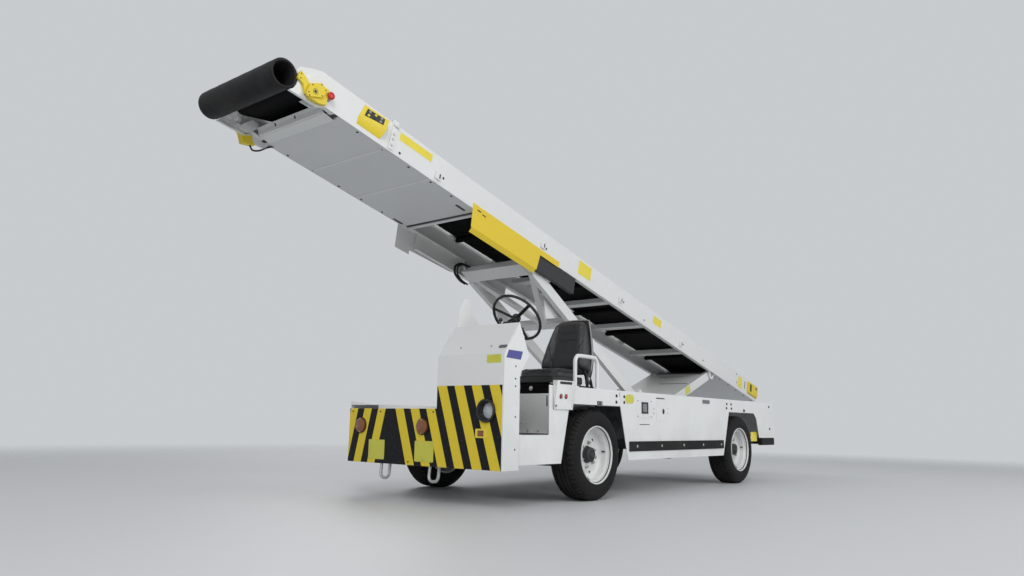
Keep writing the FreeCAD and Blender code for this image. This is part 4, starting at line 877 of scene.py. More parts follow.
shroud = [(0.0805, 0), (0.081, 0.006), (0.08, 0.013), (0.0775, 0.0165), (0.0735, 0.017),
    (0.0665, 0.0145), (0.0645, 0.01), (0.0635, -0.022), (0.06, -0.027), (0.053, -0.0285),
    (0.053, -0.034), (0, -0.034)]
made("headlamp_shroud", disc_on_front(shroud, *HEAD, 64), BLACK, "lamp", replaces=["lamps"])
bowl = [(0.0525, -0.0286), (0.05, -0.0298), (0.044, -0.0325), (0.03, -0.0332), (0.0, -0.0335)]
made("headlamp_bowl", disc_on_front(bowl, *HEAD), REFLECTOR, "lamp")


def fluted_lens(x, z, radius, ahead, crown, flutes, depth):
    """A lens on a polar grid: a crown falling as the square of the radius, with flutes.

    The flutes are cosine ridges: upright ones all over, and level ones too where u is over 0.
    """
    r, a = np.meshgrid(np.linspace(0, radius, 26), np.arange(72) * math.pi / 36, indexing="ij")
    u, v = r * np.cos(a), r * np.sin(a)
    ridge = np.cos(u * flutes) + np.where(u > 0, np.cos(v * flutes), 0)
    edge = np.clip((radius - r) / (0.12 * radius), 0, 1)
    y = FRONT - ahead - crown * (1 - (r / radius) ** 2) - depth * ridge * edge
    points = np.stack([x + u, y, z + v], -1).reshape(-1, 3)
    return points, quads(26, 72, wrap_columns=True)


made("headlamp_lens", fluted_lens(*HEAD, 0.0515, -0.0282, 0.009, 620, 0.0007), HEAD_GLASS, "lamp",
    sharp=60)
AMBERS = ((-0.514, 0.54), (0.157, 0.54))
for side, (x, z) in zip(("right", "left"), AMBERS):
    bezel = [(0.06, 0), (0.06, 0.008), (0.0585, 0.01), (0.056, 0.01), (0.0545, 0.008),
        (0.0545, 0.0)]
    glass = [(0.0545, 0.002), (0.054, 0.012), (0.052, 0.0165), (0.046, 0.0195), (0.038, 0.0207),
        (0.0372, 0.0196), (0.03, 0.0207), (0.0292, 0.0196), (0.0215, 0.0208), (0.0205, 0.0198),
        (0.012, 0.021), (0, 0.0214)]
    made("amber_bezel_" + side, disc_on_front(bezel, x, z), BLACK, "lamp")
    made("amber_glass_" + side, disc_on_front(glass, x, z), AMBER_LENS, "lamp")
    screws = repeated(stud(0.0055, 0.004), [(x, FRONT - 0.0165, z + 0.048),
        (x, FRONT - 0.0165, z - 0.048)], facing((0, -1, 0)))
    made("amber_screws_" + side, screws, ZINC)


def thin_plate(name, low, high, level, thick, paint, axis, body="chassis", place=BODY,
        radius=0.006, slot=None):
    """A thin plate with rounded corners lying on a face, its edges softened."""
    low, high = np.array(low), np.array(high)
    outline = rounded(*high - low, radius) + (low + high) / 2
    shape = prism(outline, level, level + thick, axis)
    return made(name, shape, paint, slot, 0.0005, body=body, place=place)


for side, low, high in (("right", (-0.416, 0.291), (-0.239, 0.435)),
        ("left", (0.084, 0.291), (0.275, 0.438))):
    thin_plate("tow_sign_" + side, low, high, FRONT - 0.0018, 0.0018, LIME_PLATE, "y",
        slot="body_white")
    rivets = [(x, FRONT - 0.0018, z) for x in (low[0] + 0.012, high[0] - 0.012)
        for z in (low[1] + 0.012, high[1] - 0.012)]
    made("tow_sign_rivets_" + side, repeated(stud(0.004, 0.002), rivets, facing((0, -1, 0))), ZINC)
thin_plate("marker_plate", (0.668, 0.473), (0.772, 0.534), FRONT - 0.004, 0.004, YELLOW_PLATE,
    "y")
thin_plate("marker_window", (0.69, 0.484), (0.742, 0.523), FRONT - 0.007, 0.004, AMBER_LENS, "y",
    radius=0.003, slot="lamp")
edge_screws = [(x, FRONT, z) for z in (0.285, 0.645) for x in (-0.62, -0.3, 0.02, 0.26)]
made("front_screws", repeated(stud(0.007, 0.0035), edge_screws, facing((0, -1, 0))), DARK_BOLT)


# ------------------------------------------------------------------ conveyor

WEB = 0.435
NOSE_Y, TAIL_Y = -6.42, 1.37


def both_sides(shape):
    """The shape and its mirror image across the conveyor's middle."""
    points, faces = shape
    return merge((points, faces), (points * [-1, 1, 1], faces))


def on_web(name, shape, paint, slot=None, bevel=0.0, mirror=False):
    """A piece in the conveyor's own frame, on the left side or on both."""
    return made(name, both_sides(shape) if mirror else shape, paint, slot, bevel, "conveyor",
        CONVEYOR)


def nose_roll():
    """Hollow roll: its radius waves by a cosine of 0.5 mm along it, and its mouths are rounded."""
    low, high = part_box("nose_bumper")
    half = (high[0] - low[0]) / 2
    outer, inner = 0.0995, 0.08
    along = np.linspace(-half + 0.008, half - 0.008, 60)
    shell = outer - 0.0004 - 0.0005 * np.cos(along * 46)
    lip = [(inner + 0.003, -half + 0.0012), (inner + 0.009, -half), (outer - 0.006, -half),
        (outer - 0.0015, -half + 0.003)]
    profile = lip + list(zip(shell, along)) + [(r, -x) for r, x in lip[::-1]]
    profile += [(inner, half - 0.006), (inner - 0.0006, half - 0.05),
        (inner - 0.0006, -half + 0.05), (inner, -half + 0.006)]
    made("nose_roll", lathe(profile, 72, "x", ROLL_AT, True), ROLL_RUBBER, "rubber_black",
        body="conveyor", place=CONVEYOR, replaces=["nose_bumper"], sharp=50)
    plug = [(0.0, 0.262), (0.026, 0.262), (0.03, 0.258), (0.031, 0.245), (0.078, 0.241),
        (0.0792, 0.236), (0.0792, 0.225), (0, 0.225)]
    on_web("roll_core", lathe(plug, 48, "x", ROLL_AT), ROLL_RUBBER, "rubber_black", mirror=True)
    bolt = repeated(hexagon(0.009, 0.01), [(0.262, *ROLL_AT[1:])], facing((1, 0, 0)))
    on_web("roll_bolts", bolt, ZINC, mirror=True)


def belt_path():
    """The belt's middle line: two straight runs, round both pulleys and down under snubs."""
    front, rear, r, mid, snub, run = -6.3, 1.27, 0.059, 0.145, 0.26, 0.174
    rise = run - mid
    turn = math.pi - math.atan2(rise, snub) + math.acos(r / math.hypot(snub, rise))
    tail_arc = np.linspace(math.pi / 2, turn - 2 * math.pi, 18)
    nose_arc = np.linspace(math.pi - turn + 2 * math.pi, math.pi / 2, 18)
    top = np.column_stack([np.linspace(front, rear, 120)[1:-1], np.full(118, mid + r)])
    tail = np.column_stack([rear + r * np.cos(tail_arc), mid + r * np.sin(tail_arc)])
    low = np.column_stack([np.linspace(rear - snub, front + snub, 60), np.full(60, run)])
    nose = np.column_stack([front + r * np.cos(nose_arc), mid + r * np.sin(nose_arc)])
    return np.vstack([top, tail, low, nose])


def belt_loop():
    """A flat rubber section carried round the belt's line, its edges thinner and rounded."""
    line = belt_path()
    path = np.column_stack([np.zeros(len(line)), line])
    half, thick = 0.3735, 0.0036
    across = np.linspace(-half + 0.004, half - 0.004, 13)
    upper = np.column_stack([across, np.full(13, thick)])
    lower = np.column_stack([across[::-1], np.full(13, -thick)])
    section = np.vstack([[-half, 0], upper, [half, 0], lower])
    made("belt_loop", sweep(path, section, (1, 0, 0), closed=True), BELT, "rubber_black",
        body="conveyor", place=CONVEYOR, replaces=["belt"], sharp=50)
    seam = [(-0.372, -2.0), (0.372, -1.72), (0.372, -1.706), (-0.372, -1.986)]
    on_web("belt_splice", prism(seam, 0.2078, 0.2088, "z"), RUBBER, bevel=0.0003)


def on_quad(corners, u, v, lift=0.0):
    """A point on a four-cornered patch: its corners mixed by u and v, lifted off its face."""
    a, b, c, d = np.array(corners, float)
    normal = np.cross(b - a, d - a)
    normal /= np.linalg.norm(normal)
    return (a * (1 - u) * (1 - v) + b * u * (1 - v) + c * u * v + d * (1 - u) * v + normal * lift,
        normal)


def nose_controls():
    """Switch on the left of the nose: lever arm, six-sided cover, cable box and stop knob."""
    cover = [(-6.322, 0.073), (-6.244, 0.125), (-6.191, 0.1), (-6.207, 0.033), (-6.316, -0.023),
        (-6.333, -0.005)]
    box_back = [(-6.3, -0.018), (-6.213, -0.012), (-6.162, 0.007), (-6.166, 0.122), (-6.24, 0.124),
        (-6.3, 0.08)]
    lever = [(-6.399, 0.127), (-6.409, 0.089), (-6.406, 0.065), (-6.36, 0.053), (-6.326, -0.003),
        (-6.31, 0.02), (-6.314, 0.083), (-6.363, 0.114)]
    on_web("switch_lever", prism(lever, WEB + 0.001, WEB + 0.022), BOX_YELLOW, "guard_yellow",
        0.003)
    on_web("switch_back", prism(box_back, WEB + 0.001, WEB + 0.03), BOX_YELLOW, "guard_yellow",
        0.004)
    on_web("switch_cover", prism(cover, WEB + 0.024, WEB + 0.044), BOX_YELLOW, "guard_yellow",
        0.003)
    ring = [(0.0, 0.0455), (0.01, 0.0455), (0.012, 0.0435), (0.0165, 0.0435), (0.0185, 0.045),
        (0.02, 0.0448), (0.0205, 0.043), (0.0205, 0.04)]
    on_web("switch_button", lathe([(r, WEB + x) for r, x in ring], 28, "x", (0, -6.273, 0.04)),
        BLACK)
    spots = [(WEB + 0.044, y, z) for y, z in ((-6.243, 0.112), (-6.204, 0.093), (-6.217, 0.04),
        (-6.307, -0.01), (-6.318, 0.008), (-6.306, 0.072))]
    tips = [(WEB + 0.022, y, z) for y, z in ((-6.392, 0.108), (-6.388, 0.076))]
    on_web("switch_screws", repeated(stud(0.0048, 0.003), spots + tips, facing((1, 0, 0))),
        DARK_BOLT)
    collar = [(0, 0.001), (0.03, 0.001), (0.03, 0.004), (0.0255, 0.006), (0.0225, 0.022),
        (0.019, 0.026), (0.015, 0.027), (0.015, 0.034), (0, 0.034)]
    knob = [(0.015, 0.033), (0.025, 0.034), (0.027, 0.038), (0.0268, 0.044), (0.024, 0.049),
        (0.018, 0.052), (0.009, 0.0536), (0, 0.054)]
    centre = (0, -6.152, 0.084)
    on_web("stop_collar", lathe([(r, WEB + x) for r, x in collar], 36, "x", centre), GREY_BASE)
    on_web("stop_knob", lathe([(r, WEB + x) for r, x in knob], 36, "x", centre), RED_KNOB)
    right = [(-6.262, 0.12), (-6.262, 0.022), (-6.222, -0.01), (-6.184, -0.07), (-6.09, -0.04),
        (-6.098, 0.12)]
    on_web("right_switch_box", prism(right, -WEB - 0.058, -WEB - 0.001), BOX_YELLOW,
        "guard_yellow", 0.005)
    lid = rounded(0.104, 0.08, 0.01) + [-6.18, 0.065]
    on_web("right_switch_lid", prism(lid, -WEB - 0.0595, -WEB - 0.057), BOX_YELLOW, "guard_yellow",
        0.0008)
    cable = pipe([(-WEB - 0.03, -6.12, -0.046), (-WEB - 0.032, -6.085, -0.07),
        (-WEB - 0.02, -6.04, -0.052), (-WEB + 0.004, -6.0, -0.01), (-WEB + 0.03, -5.96, 0.018)],
        0.0065, (1, 0, 0), 10)
    on_web("right_switch_cable", cable, HOSE)
    tab = prism([(-6.14, 0.02), (-6.125, -0.02), (-6.09, -0.04), (-6.04, -0.036), (-5.99, -0.006),
        (-5.975, 0.02)], -WEB + 0.0004, -WEB + 0.0044)
    on_web("right_nose_tab", tab, LIFT_WHITE, "lift_white", 0.001)
    ear = box((-WEB + 0.006, -6.3, 0.045), (-WEB + 0.03, -6.262, 0.082))
    on_web("right_nose_ear", ear, LIFT_WHITE, "lift_white", 0.006)


def operator_box():
    """Wedge box facing the nose: a sloping button face that deepens towards its rear."""
    web = [(WEB + 0.0005, y, z) for y, z in ((-5.885, 0.043), (-5.885, 0.098), (-5.856, 0.216),
        (-5.664, 0.216), (-5.664, 0.045))]
    out = [(WEB + 0.0592, -5.662, 0.185), (WEB + 0.0592, -5.662, 0.105)]
    corners = np.array(web + out)
    faces = [[1, 2, 5, 6], [1, 6, 4, 0], [2, 3, 5], [3, 4, 6, 5], [0, 4, 3, 2, 1]]
    on_web("operator_box", (corners, faces), BOX_YELLOW, "guard_yellow", 0.0025)
    face = [corners[1], corners[6], corners[5], corners[2]]
    inset = [on_quad(face, u, v, 0.0006)[0] for u, v in ((0.16, 0.3), (0.84, 0.3), (0.84, 0.86),
        (0.16, 0.86))]
    normal = on_quad(face, 0.5, 0.5)[1]
    base = np.array(inset)
    points = np.vstack([base, base + normal * 0.0016])
    sides = [[k, (k + 1) % 4, 4 + (k + 1) % 4, 4 + k] for k in range(4)]
    on_web("button_panel", (points, sides + [[3, 2, 1, 0], [4, 5, 6, 7]]), BLACK, "steering_black")
    push = lathe([(0, 0.007), (0.006, 0.0065), (0.007, 0.005), (0.007, 0.003), (0.0095, 0.003),
        (0.01, 0.002), (0.01, 0)], 18, "z")
    for row, v, paints in (("upper", 0.72, (GREY_BASE, YELLOW_PLATE, GREY_BASE)),
            ("lower", 0.44, (YELLOW_PLATE, BLACK, GREY_BASE))):
        for k, paint in enumerate(paints):
            place = on_quad(face, 0.28 + 0.22 * k, v, 0.0021)[0]
            on_web("push_%s_%d" % (row, k), repeated(push, [place], facing(normal)), paint)


def web_fittings():
    """Latch with its knuckle, clips, bored holes, blank labels, joint strap and tail switches. The
    bored holes, the clips' slots and the tail slit are black pieces of painted shade.
    """
    strap = rounded(0.05, 0.205, 0.01) + [-5.555, 0.126]
    on_web("latch_strap", prism(strap, WEB + 0.0006, WEB + 0.007), LIFT_WHITE, "lift_white",
        0.0015, mirror=True)
    knuckle = lathe([(0, -0.022), (0.011, -0.022), (0.013, -0.02), (0.013, 0.02), (0.011, 0.022),
        (0, 0.022)], 20, "y", (WEB + 0.009, -5.553, 0.218))
    cap = prism(rounded(0.058, 0.044, 0.008) + [-5.556, 0.24], WEB - 0.03, WEB + 0.004)
    on_web("latch_head", merge(knuckle, cap), LIFT_WHITE, "lift_white", 0.003, mirror=True)
    pins = [(WEB + 0.007, -5.553, z) for z in (0.15, 0.11, 0.06)]
    on_web("latch_bolts", repeated(hexagon(0.009, 0.007), pins, facing((1, 0, 0))), ZINC,
        mirror=True)
    clips = [(y, z) for y, z in ((-5.06, 0.069), (-3.676, 0.103), (-2.305, 0.1), (-0.941, 0.086))]
    block = merge(prism(rounded(0.056, 0.062, 0.006), 0, 0.017), box((0, -0.034, -0.05),
        (0.003, 0.034, -0.026)))
    on_web("web_clips", repeated(block, [(WEB + 0.0004, y, z) for y, z in clips]), LIFT_WHITE,
        "lift_white", 0.002, mirror=True)
    # painted shade: a thin black block stands in each clip's slot
    slot = box((0.0165, 0.006, -0.018), (0.0178, 0.019, 0.02))
    on_web("clip_slots", repeated(slot, [(WEB + 0.0004, y, z) for y, z in clips]), BLACK,
        mirror=True)
    # painted shade: each bored hole is a thin black disc on the web
    holes = [(-5.461, 0.046), (-4.995, 0.085), (-3.612, 0.097), (-2.229, 0.106), (-0.867, 0.1),
        (-1.787, 0.068), (-0.329, 0.077), (0.663, 0.203), (0.68, 0.098)]
    hole = lathe([(0, 0.0004), (0.0075, 0.0004), (0.009, 0.0011), (0.0104, 0.0009), (0.0108, 0)],
        20, "z")
    on_web("web_holes", repeated(hole, [(WEB + 0.0002, y, z) for y, z in holes],
        facing((1, 0, 0))), BLACK, mirror=True)
    joint = prism([(-4.05, 0.03), (-4.042, 0.03), (-4.042, 0.228), (-4.05, 0.228)], WEB + 0.0002,
        WEB + 0.0022)
    on_web("web_joint", joint, LIFT_WHITE, "lift_white", 0.0008, mirror=True)
    for name, low, high in (("front", (-5.494, 0.142), (-5.15, 0.205)),
            ("middle", (-3.089, 0.078), (-2.87, 0.212)), ("centre", (-1.6, 0.103), (-1.415, 0.19)),
            ("tail", (0.72, 0.055), (0.85, 0.2))):
        for side, start in (("left", WEB + 0.0002), ("right", -WEB - 0.0014)):
            thin_plate("web_label_%s_%s" % (name, side), low, high, start, 0.0012, YELLOW_PLATE,
                "x", "conveyor", CONVEYOR)
    # painted shade: the slit is a thin black plate on the web
    slit = prism(rounded(0.016, 0.1, 0.005) + [0.94, 0.136], WEB + 0.0002, WEB + 0.0012)
    on_web("tail_slit", slit, BLACK, mirror=True)
    rim = prism(rounded(0.3, 0.15, 0.012) + [1.172, 0.131], WEB + 0.001, WEB + 0.024)
    lid = prism(rounded(0.28, 0.13, 0.01) + [1.172, 0.131], WEB + 0.0235, WEB + 0.0255)
    on_web("tail_switch_box", merge(rim, lid), BOX_YELLOW, "guard_yellow", 0.003, mirror=True)
    dark = prism(rounded(0.06, 0.095, 0.006) + [1.085, 0.135], WEB + 0.0252, WEB + 0.0262)
    knob = lathe([(0, 0.0), (0.02, 0.0), (0.02, -0.006), (0, -0.006)], 24, "x",
        (WEB + 0.0262, 1.265, 0.17))
    on_web("tail_switches", merge(dark, knob), BLACK, mirror=True)
    foot = prism([(1.29, 0.022), (1.318, 0.016), (1.338, 0.07), (1.312, 0.08)], WEB - 0.05,
        WEB + 0.004)
    on_web("tail_foot", foot, LIFT_WHITE, "lift_white", 0.003, mirror=True)


def nose_frame():
    """Sheet tips that reach under the roll, with turned flanges, and the channel between."""
    bend = np.radians(np.linspace(-51, 46, 9))
    hollow = np.column_stack([ROLL_AT[1] + 0.103 * np.cos(bend),
        ROLL_AT[2] + 0.103 * np.sin(bend)])
    tip = prism(np.vstack([[(-6.401, 0.16), (-6.312, 0.208), (-6.24, 0.233), (-6.2, 0.19),
        (-6.196, 0.012), (-6.21, -0.018)], hollow]), WEB - 0.0055, WEB - 0.0004)
    flange = prism([(-6.428, -0.028), (-6.21, -0.018), (-6.15, 0.013), (-6.15, 0.008),
        (-6.206, -0.023), (-6.428, -0.033)], WEB - 0.022, WEB - 0.0004)
    gusset = prism([(-6.3, -0.022), (-6.212, -0.018), (-6.18, 0.01), (-6.12, 0.085),
        (-6.21, 0.09)], WEB - 0.075, WEB - 0.07)
    on_web("nose_tips", merge(tip, flange), LIFT_WHITE, "lift_white", 0.001, mirror=True)
    on_web("nose_gussets", gusset, LIFT_WHITE, "lift_white", 0.001, mirror=True)
    half = WEB - 0.06
    channel = prism([(-6.118, 0.012), (-6.1, 0.012), (-6.02, 0.004), (-6.02, 0.0), (-6.104, 0.006),
        (-6.15, 0.06), (-6.146, 0.063)], -half, half)
    on_web("nose_channel", channel, LIFT_WHITE, "lift_white", 0.001)
    # painted shade: the channel's slots are thin black plates
    slots = [(x, -6.1295, 0.0335) for x in (-0.16, 0.07)]
    lean = facing((0, -0.76, -0.65))
    slot = prism(rounded(0.014, 0.04, 0.006), -0.001, 0.0012, "z")
    on_web("channel_slots", repeated(slot, slots, lean), BLACK)
    tray = prism(rounded(0.03, 0.085, 0.004) + [-6.045, 0.05], WEB - 0.11, WEB - 0.01)
    on_web("nose_cable_tray", tray, FRAME_BLACK, "black_steel", 0.002, mirror=True)


def under_conveyor():
    """Strips over the pan seams, screws along the pans, idler rolls and return supports."""
    inside = WEB - 0.0075
    seams = [NOSE_Y + run for run in (0.825, 1.294)]
    strip = prism([(-0.009, 0.0105), (0.009, 0.0105), (0.006, 0.0062), (-0.006, 0.0062)], -inside,
        inside)
    on_web("pan_strips", repeated(strip, [(0, y, 0) for y in seams]), LIFT_WHITE, "lift_white",
        0.0008)
    end = NOSE_Y + 1.857
    bar = box((-inside, end + 0.03, 0.004), (inside, end + 0.06, 0.044))
    on_web("pan_end_bar", bar, LIFT_WHITE, "lift_white", 0.002)
    # painted shade: a black block fills the gap before the pans' end bar
    gap = box((-inside + 0.02, end + 0.0005, 0.0135), (inside - 0.02, end + 0.0295, 0.0195))
    on_web("pan_end_gap", gap, FRAME_BLACK, "black_steel")
    run = np.concatenate([[-5.835, -5.594, -5.327, -5.086, -4.848], np.arange(0.24, 1.27, 0.25)])
    low = [(x, y, 0.0109) for y in run for x in (-0.403, 0.403)]
    on_web("pan_screws", repeated(stud(0.0095, 0.006, 10), low, facing((0, 0, -1))), DARK_BOLT)
    # painted shade: the pans' slots are thin black plates
    slots = [prism(rounded(0.028, 0.112, 0.012) + [x, -4.664], 0.0096, 0.0106, "z")
        for x in (-0.398, 0.338)]
    on_web("pan_slots", merge(*slots), BLACK)
    roll = lathe([(0, -0.385), (0.012, -0.385), (0.012, -0.372), (0.021, -0.37), (0.024, -0.367),
        (0.024, 0.367), (0.021, 0.37), (0.012, 0.372), (0.012, 0.385), (0, 0.385)], 24, "x",
        (0, 0, 0.1455))
    idlers = [(0, y, 0) for y in (-5.35, -3.95, -2.65, -1.95, -1.25, -0.3, 0.62)]
    on_web("return_idlers", repeated(roll, idlers), BELT, "rubber_black")
    ears = merge(*[box((side * 0.385 - 0.004, -0.022, 0.118), (side * 0.385 + 0.004, 0.022, 0.172))
        for side in (-1, 1)])
    on_web("idler_ears", repeated(ears, idlers), LIFT_WHITE, "lift_white", 0.001)
    slider = box((-0.372, NOSE_Y + 0.42, 0.1905), (0.372, TAIL_Y - 0.25, 0.1945))
    on_web("slider_bed", slider, PAN_GREY, "lift_white", 0.0008)
    posts = box((0.372, -0.03, 0.15), (WEB - 0.006, 0.03, 0.1905))
    on_web("slider_posts", repeated(posts, [(0, y, 0) for y in np.linspace(-5.85, 1.0, 12)]),
        LIFT_WHITE, "lift_white", 0.001, mirror=True)
    track = -3.735
    # painted shade: the groove is a thin black strip on the web
    groove = box((WEB - 0.0082, track - 0.64, -0.098), (WEB - 0.0074, track + 0.61, -0.094))
    on_web("track_groove", groove, FRAME_BLACK, mirror=True)


def guard_trim():
    """Two slots, black plates of painted shade, and a raised border round a bare field, on the
    left guard.
    """
    # painted shade: the guard's slots are thin black plates
    slots = prism(rounded(0.046, 0.01, 0.004), WEB + 0.0042, WEB + 0.0052)
    on_web("guard_slots", repeated(slots, [(0, -4.545, 0.02), (0, -4.48, 0.008)]), BLACK)
    frame_in = merge(*[prism(rounded(*size, 0.001) + mid, WEB + 0.0042, WEB + 0.0052) for size,
        mid in (((0.11, 0.004), (-4.5, 0.03)), ((0.11, 0.004), (-4.5, -0.014)),
        ((0.004, 0.048), (-4.555, 0.008)), ((0.004, 0.048), (-4.445, 0.008)))])
    on_web("guard_field", frame_in, GUARD_YELLOW, "guard_yellow")


nose_roll()
belt_loop()
nose_controls()
operator_box()
web_fittings()
nose_frame()
under_conveyor()
guard_trim()
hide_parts("conveyor_controls")


# ------------------------------------------------------------------ left side of the body

SIDE = 0.91
HANDS = ((1, "left"), (-1, "right"))


def heads(name, places, shape, paint=ZINC, normal=(1, 0, 0)):
    """One fastener at every place, turned to face the normal."""
    return made(name, repeated(shape, places, facing(normal)), paint)


def side_details():
    """Screws, seams, plates, gauge window, latch door, badge and studs along the side."""
    small = stud(0.0065, 0.003)
    heads("console_screws", [(SIDE, y, z) for y, z in ((-1.033, 0.958), (-1.033, 0.874),
        (-1.032, 0.823), (-1.029, 0.617), (-1.03, 0.4))], small, DARK_BOLT)
    bolt = hexagon(0.0095, 0.007)
    heads("seam_bolts", [(SIDE, y, z) for y, z in ((0.279, 0.807), (0.276, 0.757), (0.4, 0.805),
        (0.399, 0.758))], bolt, DARK_BOLT)
    rear = [(SIDE, y, z) for y, z in ((2.439, 0.806), (2.545, 0.805), (2.43, 0.763),
        (2.551, 0.762), (3.6, 0.806), (3.6, 0.56))]
    heads("rear_bolts_left", rear, bolt, DARK_BOLT)
    heads("rear_bolts_right", np.array(rear) * [-1, 1, 1], bolt, DARK_BOLT, (-1, 0, 0))
    # painted shade: the seam's slit is a thin black box on the side
    made("seam_slit", box((SIDE + 0.0002, 0.327, 0.8), (SIDE + 0.0012, 0.331, 0.834)), BLACK)
    # painted shade: the slot is a thin black plate on the side
    made("entry_slot", prism(rounded(0.016, 0.077, 0.006) + [-0.671, 0.736], SIDE + 0.0002,
        SIDE + 0.0014), BLACK)
    thin_plate("sign_lime_side", (0.42, 0.752), (0.56, 0.826), SIDE + 0.0002, 0.0012, LIME_PLATE,
        "x", radius=0.034)
    sign = prism([(-1.137, 1.012), (-0.981, 1.006), (-0.957, 1.064), (-1.111, 1.066)],
        SIDE + 0.0002, SIDE + 0.0014)
    made("sign_blue_side", sign, BLUE_PLATE)
    thin_plate("badge_plate", (1.872, 0.794), (2.028, 0.83), SIDE + 0.0002, 0.004, GREY_PLATE,
        "x", radius=0.005)
    cover = prism(rounded(0.256, 0.154, 0.008) + [0.734, 0.715], SIDE + 0.0002, SIDE + 0.0032)
    made("gauge_cover", cover, BODY_WHITE, "body_white", 0.001)
    heads("gauge_screws", [(SIDE + 0.0032, y, z) for y in (0.62, 0.848) for z in (0.65, 0.78)],
        stud(0.005, 0.0025), DARK_BOLT)
    frame_ring = merge(*[prism(rounded(*size, 0.002) + spot, SIDE + 0.003, SIDE + 0.01) for size,
        spot in (((0.108, 0.014), (0.734, 0.7635)), ((0.108, 0.014), (0.734, 0.6815)),
        ((0.014, 0.094), (0.688, 0.7225)), ((0.014, 0.094), (0.78, 0.7225)))])
    made("gauge_frame", frame_ring, BLACK, bevel=0.0015)
    made("gauge_window", prism(rounded(0.084, 0.074, 0.002) + [0.734, 0.7225], SIDE + 0.003,
        SIDE + 0.0055), GREY_PANE)
    marks = [box((0, 0.704, z), (0.0006, 0.764, z + 0.0025)) for z in np.linspace(0.695, 0.745, 5)]
    made("gauge_marks", repeated(merge(*marks), [(SIDE + 0.0055, 0, 0)]), BLACK)
    door = prism(rounded(0.145, 0.174, 0.01) + [1.0175, 0.703], SIDE + 0.0002, SIDE + 0.003)
    made("latch_door", door, BODY_WHITE, "body_white", 0.001)
    handle = lathe([(0, 0.012), (0.01, 0.012), (0.017, 0.008), (0.019, 0.003), (0.019, 0)], 24,
        "z")
    points, faces = handle
    made("latch_handle", repeated((points * [0.55, 1.25, 1], faces), [(SIDE + 0.003, 1.063, 0.7)],
        facing((1, 0, 0))), BLACK)
    heads("door_screws", [(SIDE, y, z) for y, z in ((0.902, 0.719), (0.901, 0.682), (1.159, 0.725),
        (1.153, 0.688))], stud(0.0075, 0.004), ZINC)
    made("door_hinge", prism(rounded(0.15, 0.008, 0.003) + [1.0175, 0.812], SIDE + 0.0002,
        SIDE + 0.004), FRAME_BLACK)
    made("fuel_flap_line", prism(rounded(0.17, 0.006, 0.002) + [0.735, 0.583], SIDE + 0.0002,
        SIDE + 0.0012), FRAME_BLACK)
    clip = merge(box((SIDE - 0.01, -0.009, 0.728), (SIDE + 0.004, 0.064, 0.756)),
        box((SIDE - 0.03, 0.004, 0.716), (SIDE - 0.004, 0.05, 0.728)))
    made("arch_clip", clip, FRAME_BLACK, "black_steel", 0.002)
    heads("arch_clip_screws", [(SIDE + 0.004, y, 0.742) for y in (0.008, 0.047)],
        stud(0.006, 0.003), ZINC)
    heads("arch_stud", [(SIDE, 2.879, 0.748)], hexagon(0.012, 0.01), DARK_BOLT)
    strip = [(SIDE + 0.01, y, 0.404) for y in (0.592, 1.02, 1.442, 1.849, 2.26)]
    heads("strip_bolts_left", strip, hexagon(0.009, 0.005), ZINC)
    heads("strip_bolts_right", np.array(strip) * [-1, 1, 1] + [0.0004, 0, 0], stud(0.011, 0.0004),
        ZINC, (-1, 0, 0))
    for side, name in HANDS:
        thin_plate("rear_sign_" + name, (3.12, 0.425), (3.29, 0.525), side * 0.88 - 0.001,
            0.002, YELLOW_PLATE, "x")
        arm = box((side * 0.872 - 0.006, 3.15, 0.44), (side * 0.872 + 0.006, 3.42, 0.47))
        made("rear_sign_arm_" + name, arm, FRAME_BLACK, "black_steel", 0.002)
    cap = prism([(3.355, 0.384), (3.722, 0.384), (3.722, 0.455), (3.355, 0.455)], 0.905, 0.914)
    made("corner_bumper_ribs", cap, RUBBER, "rubber_black", 0.003)


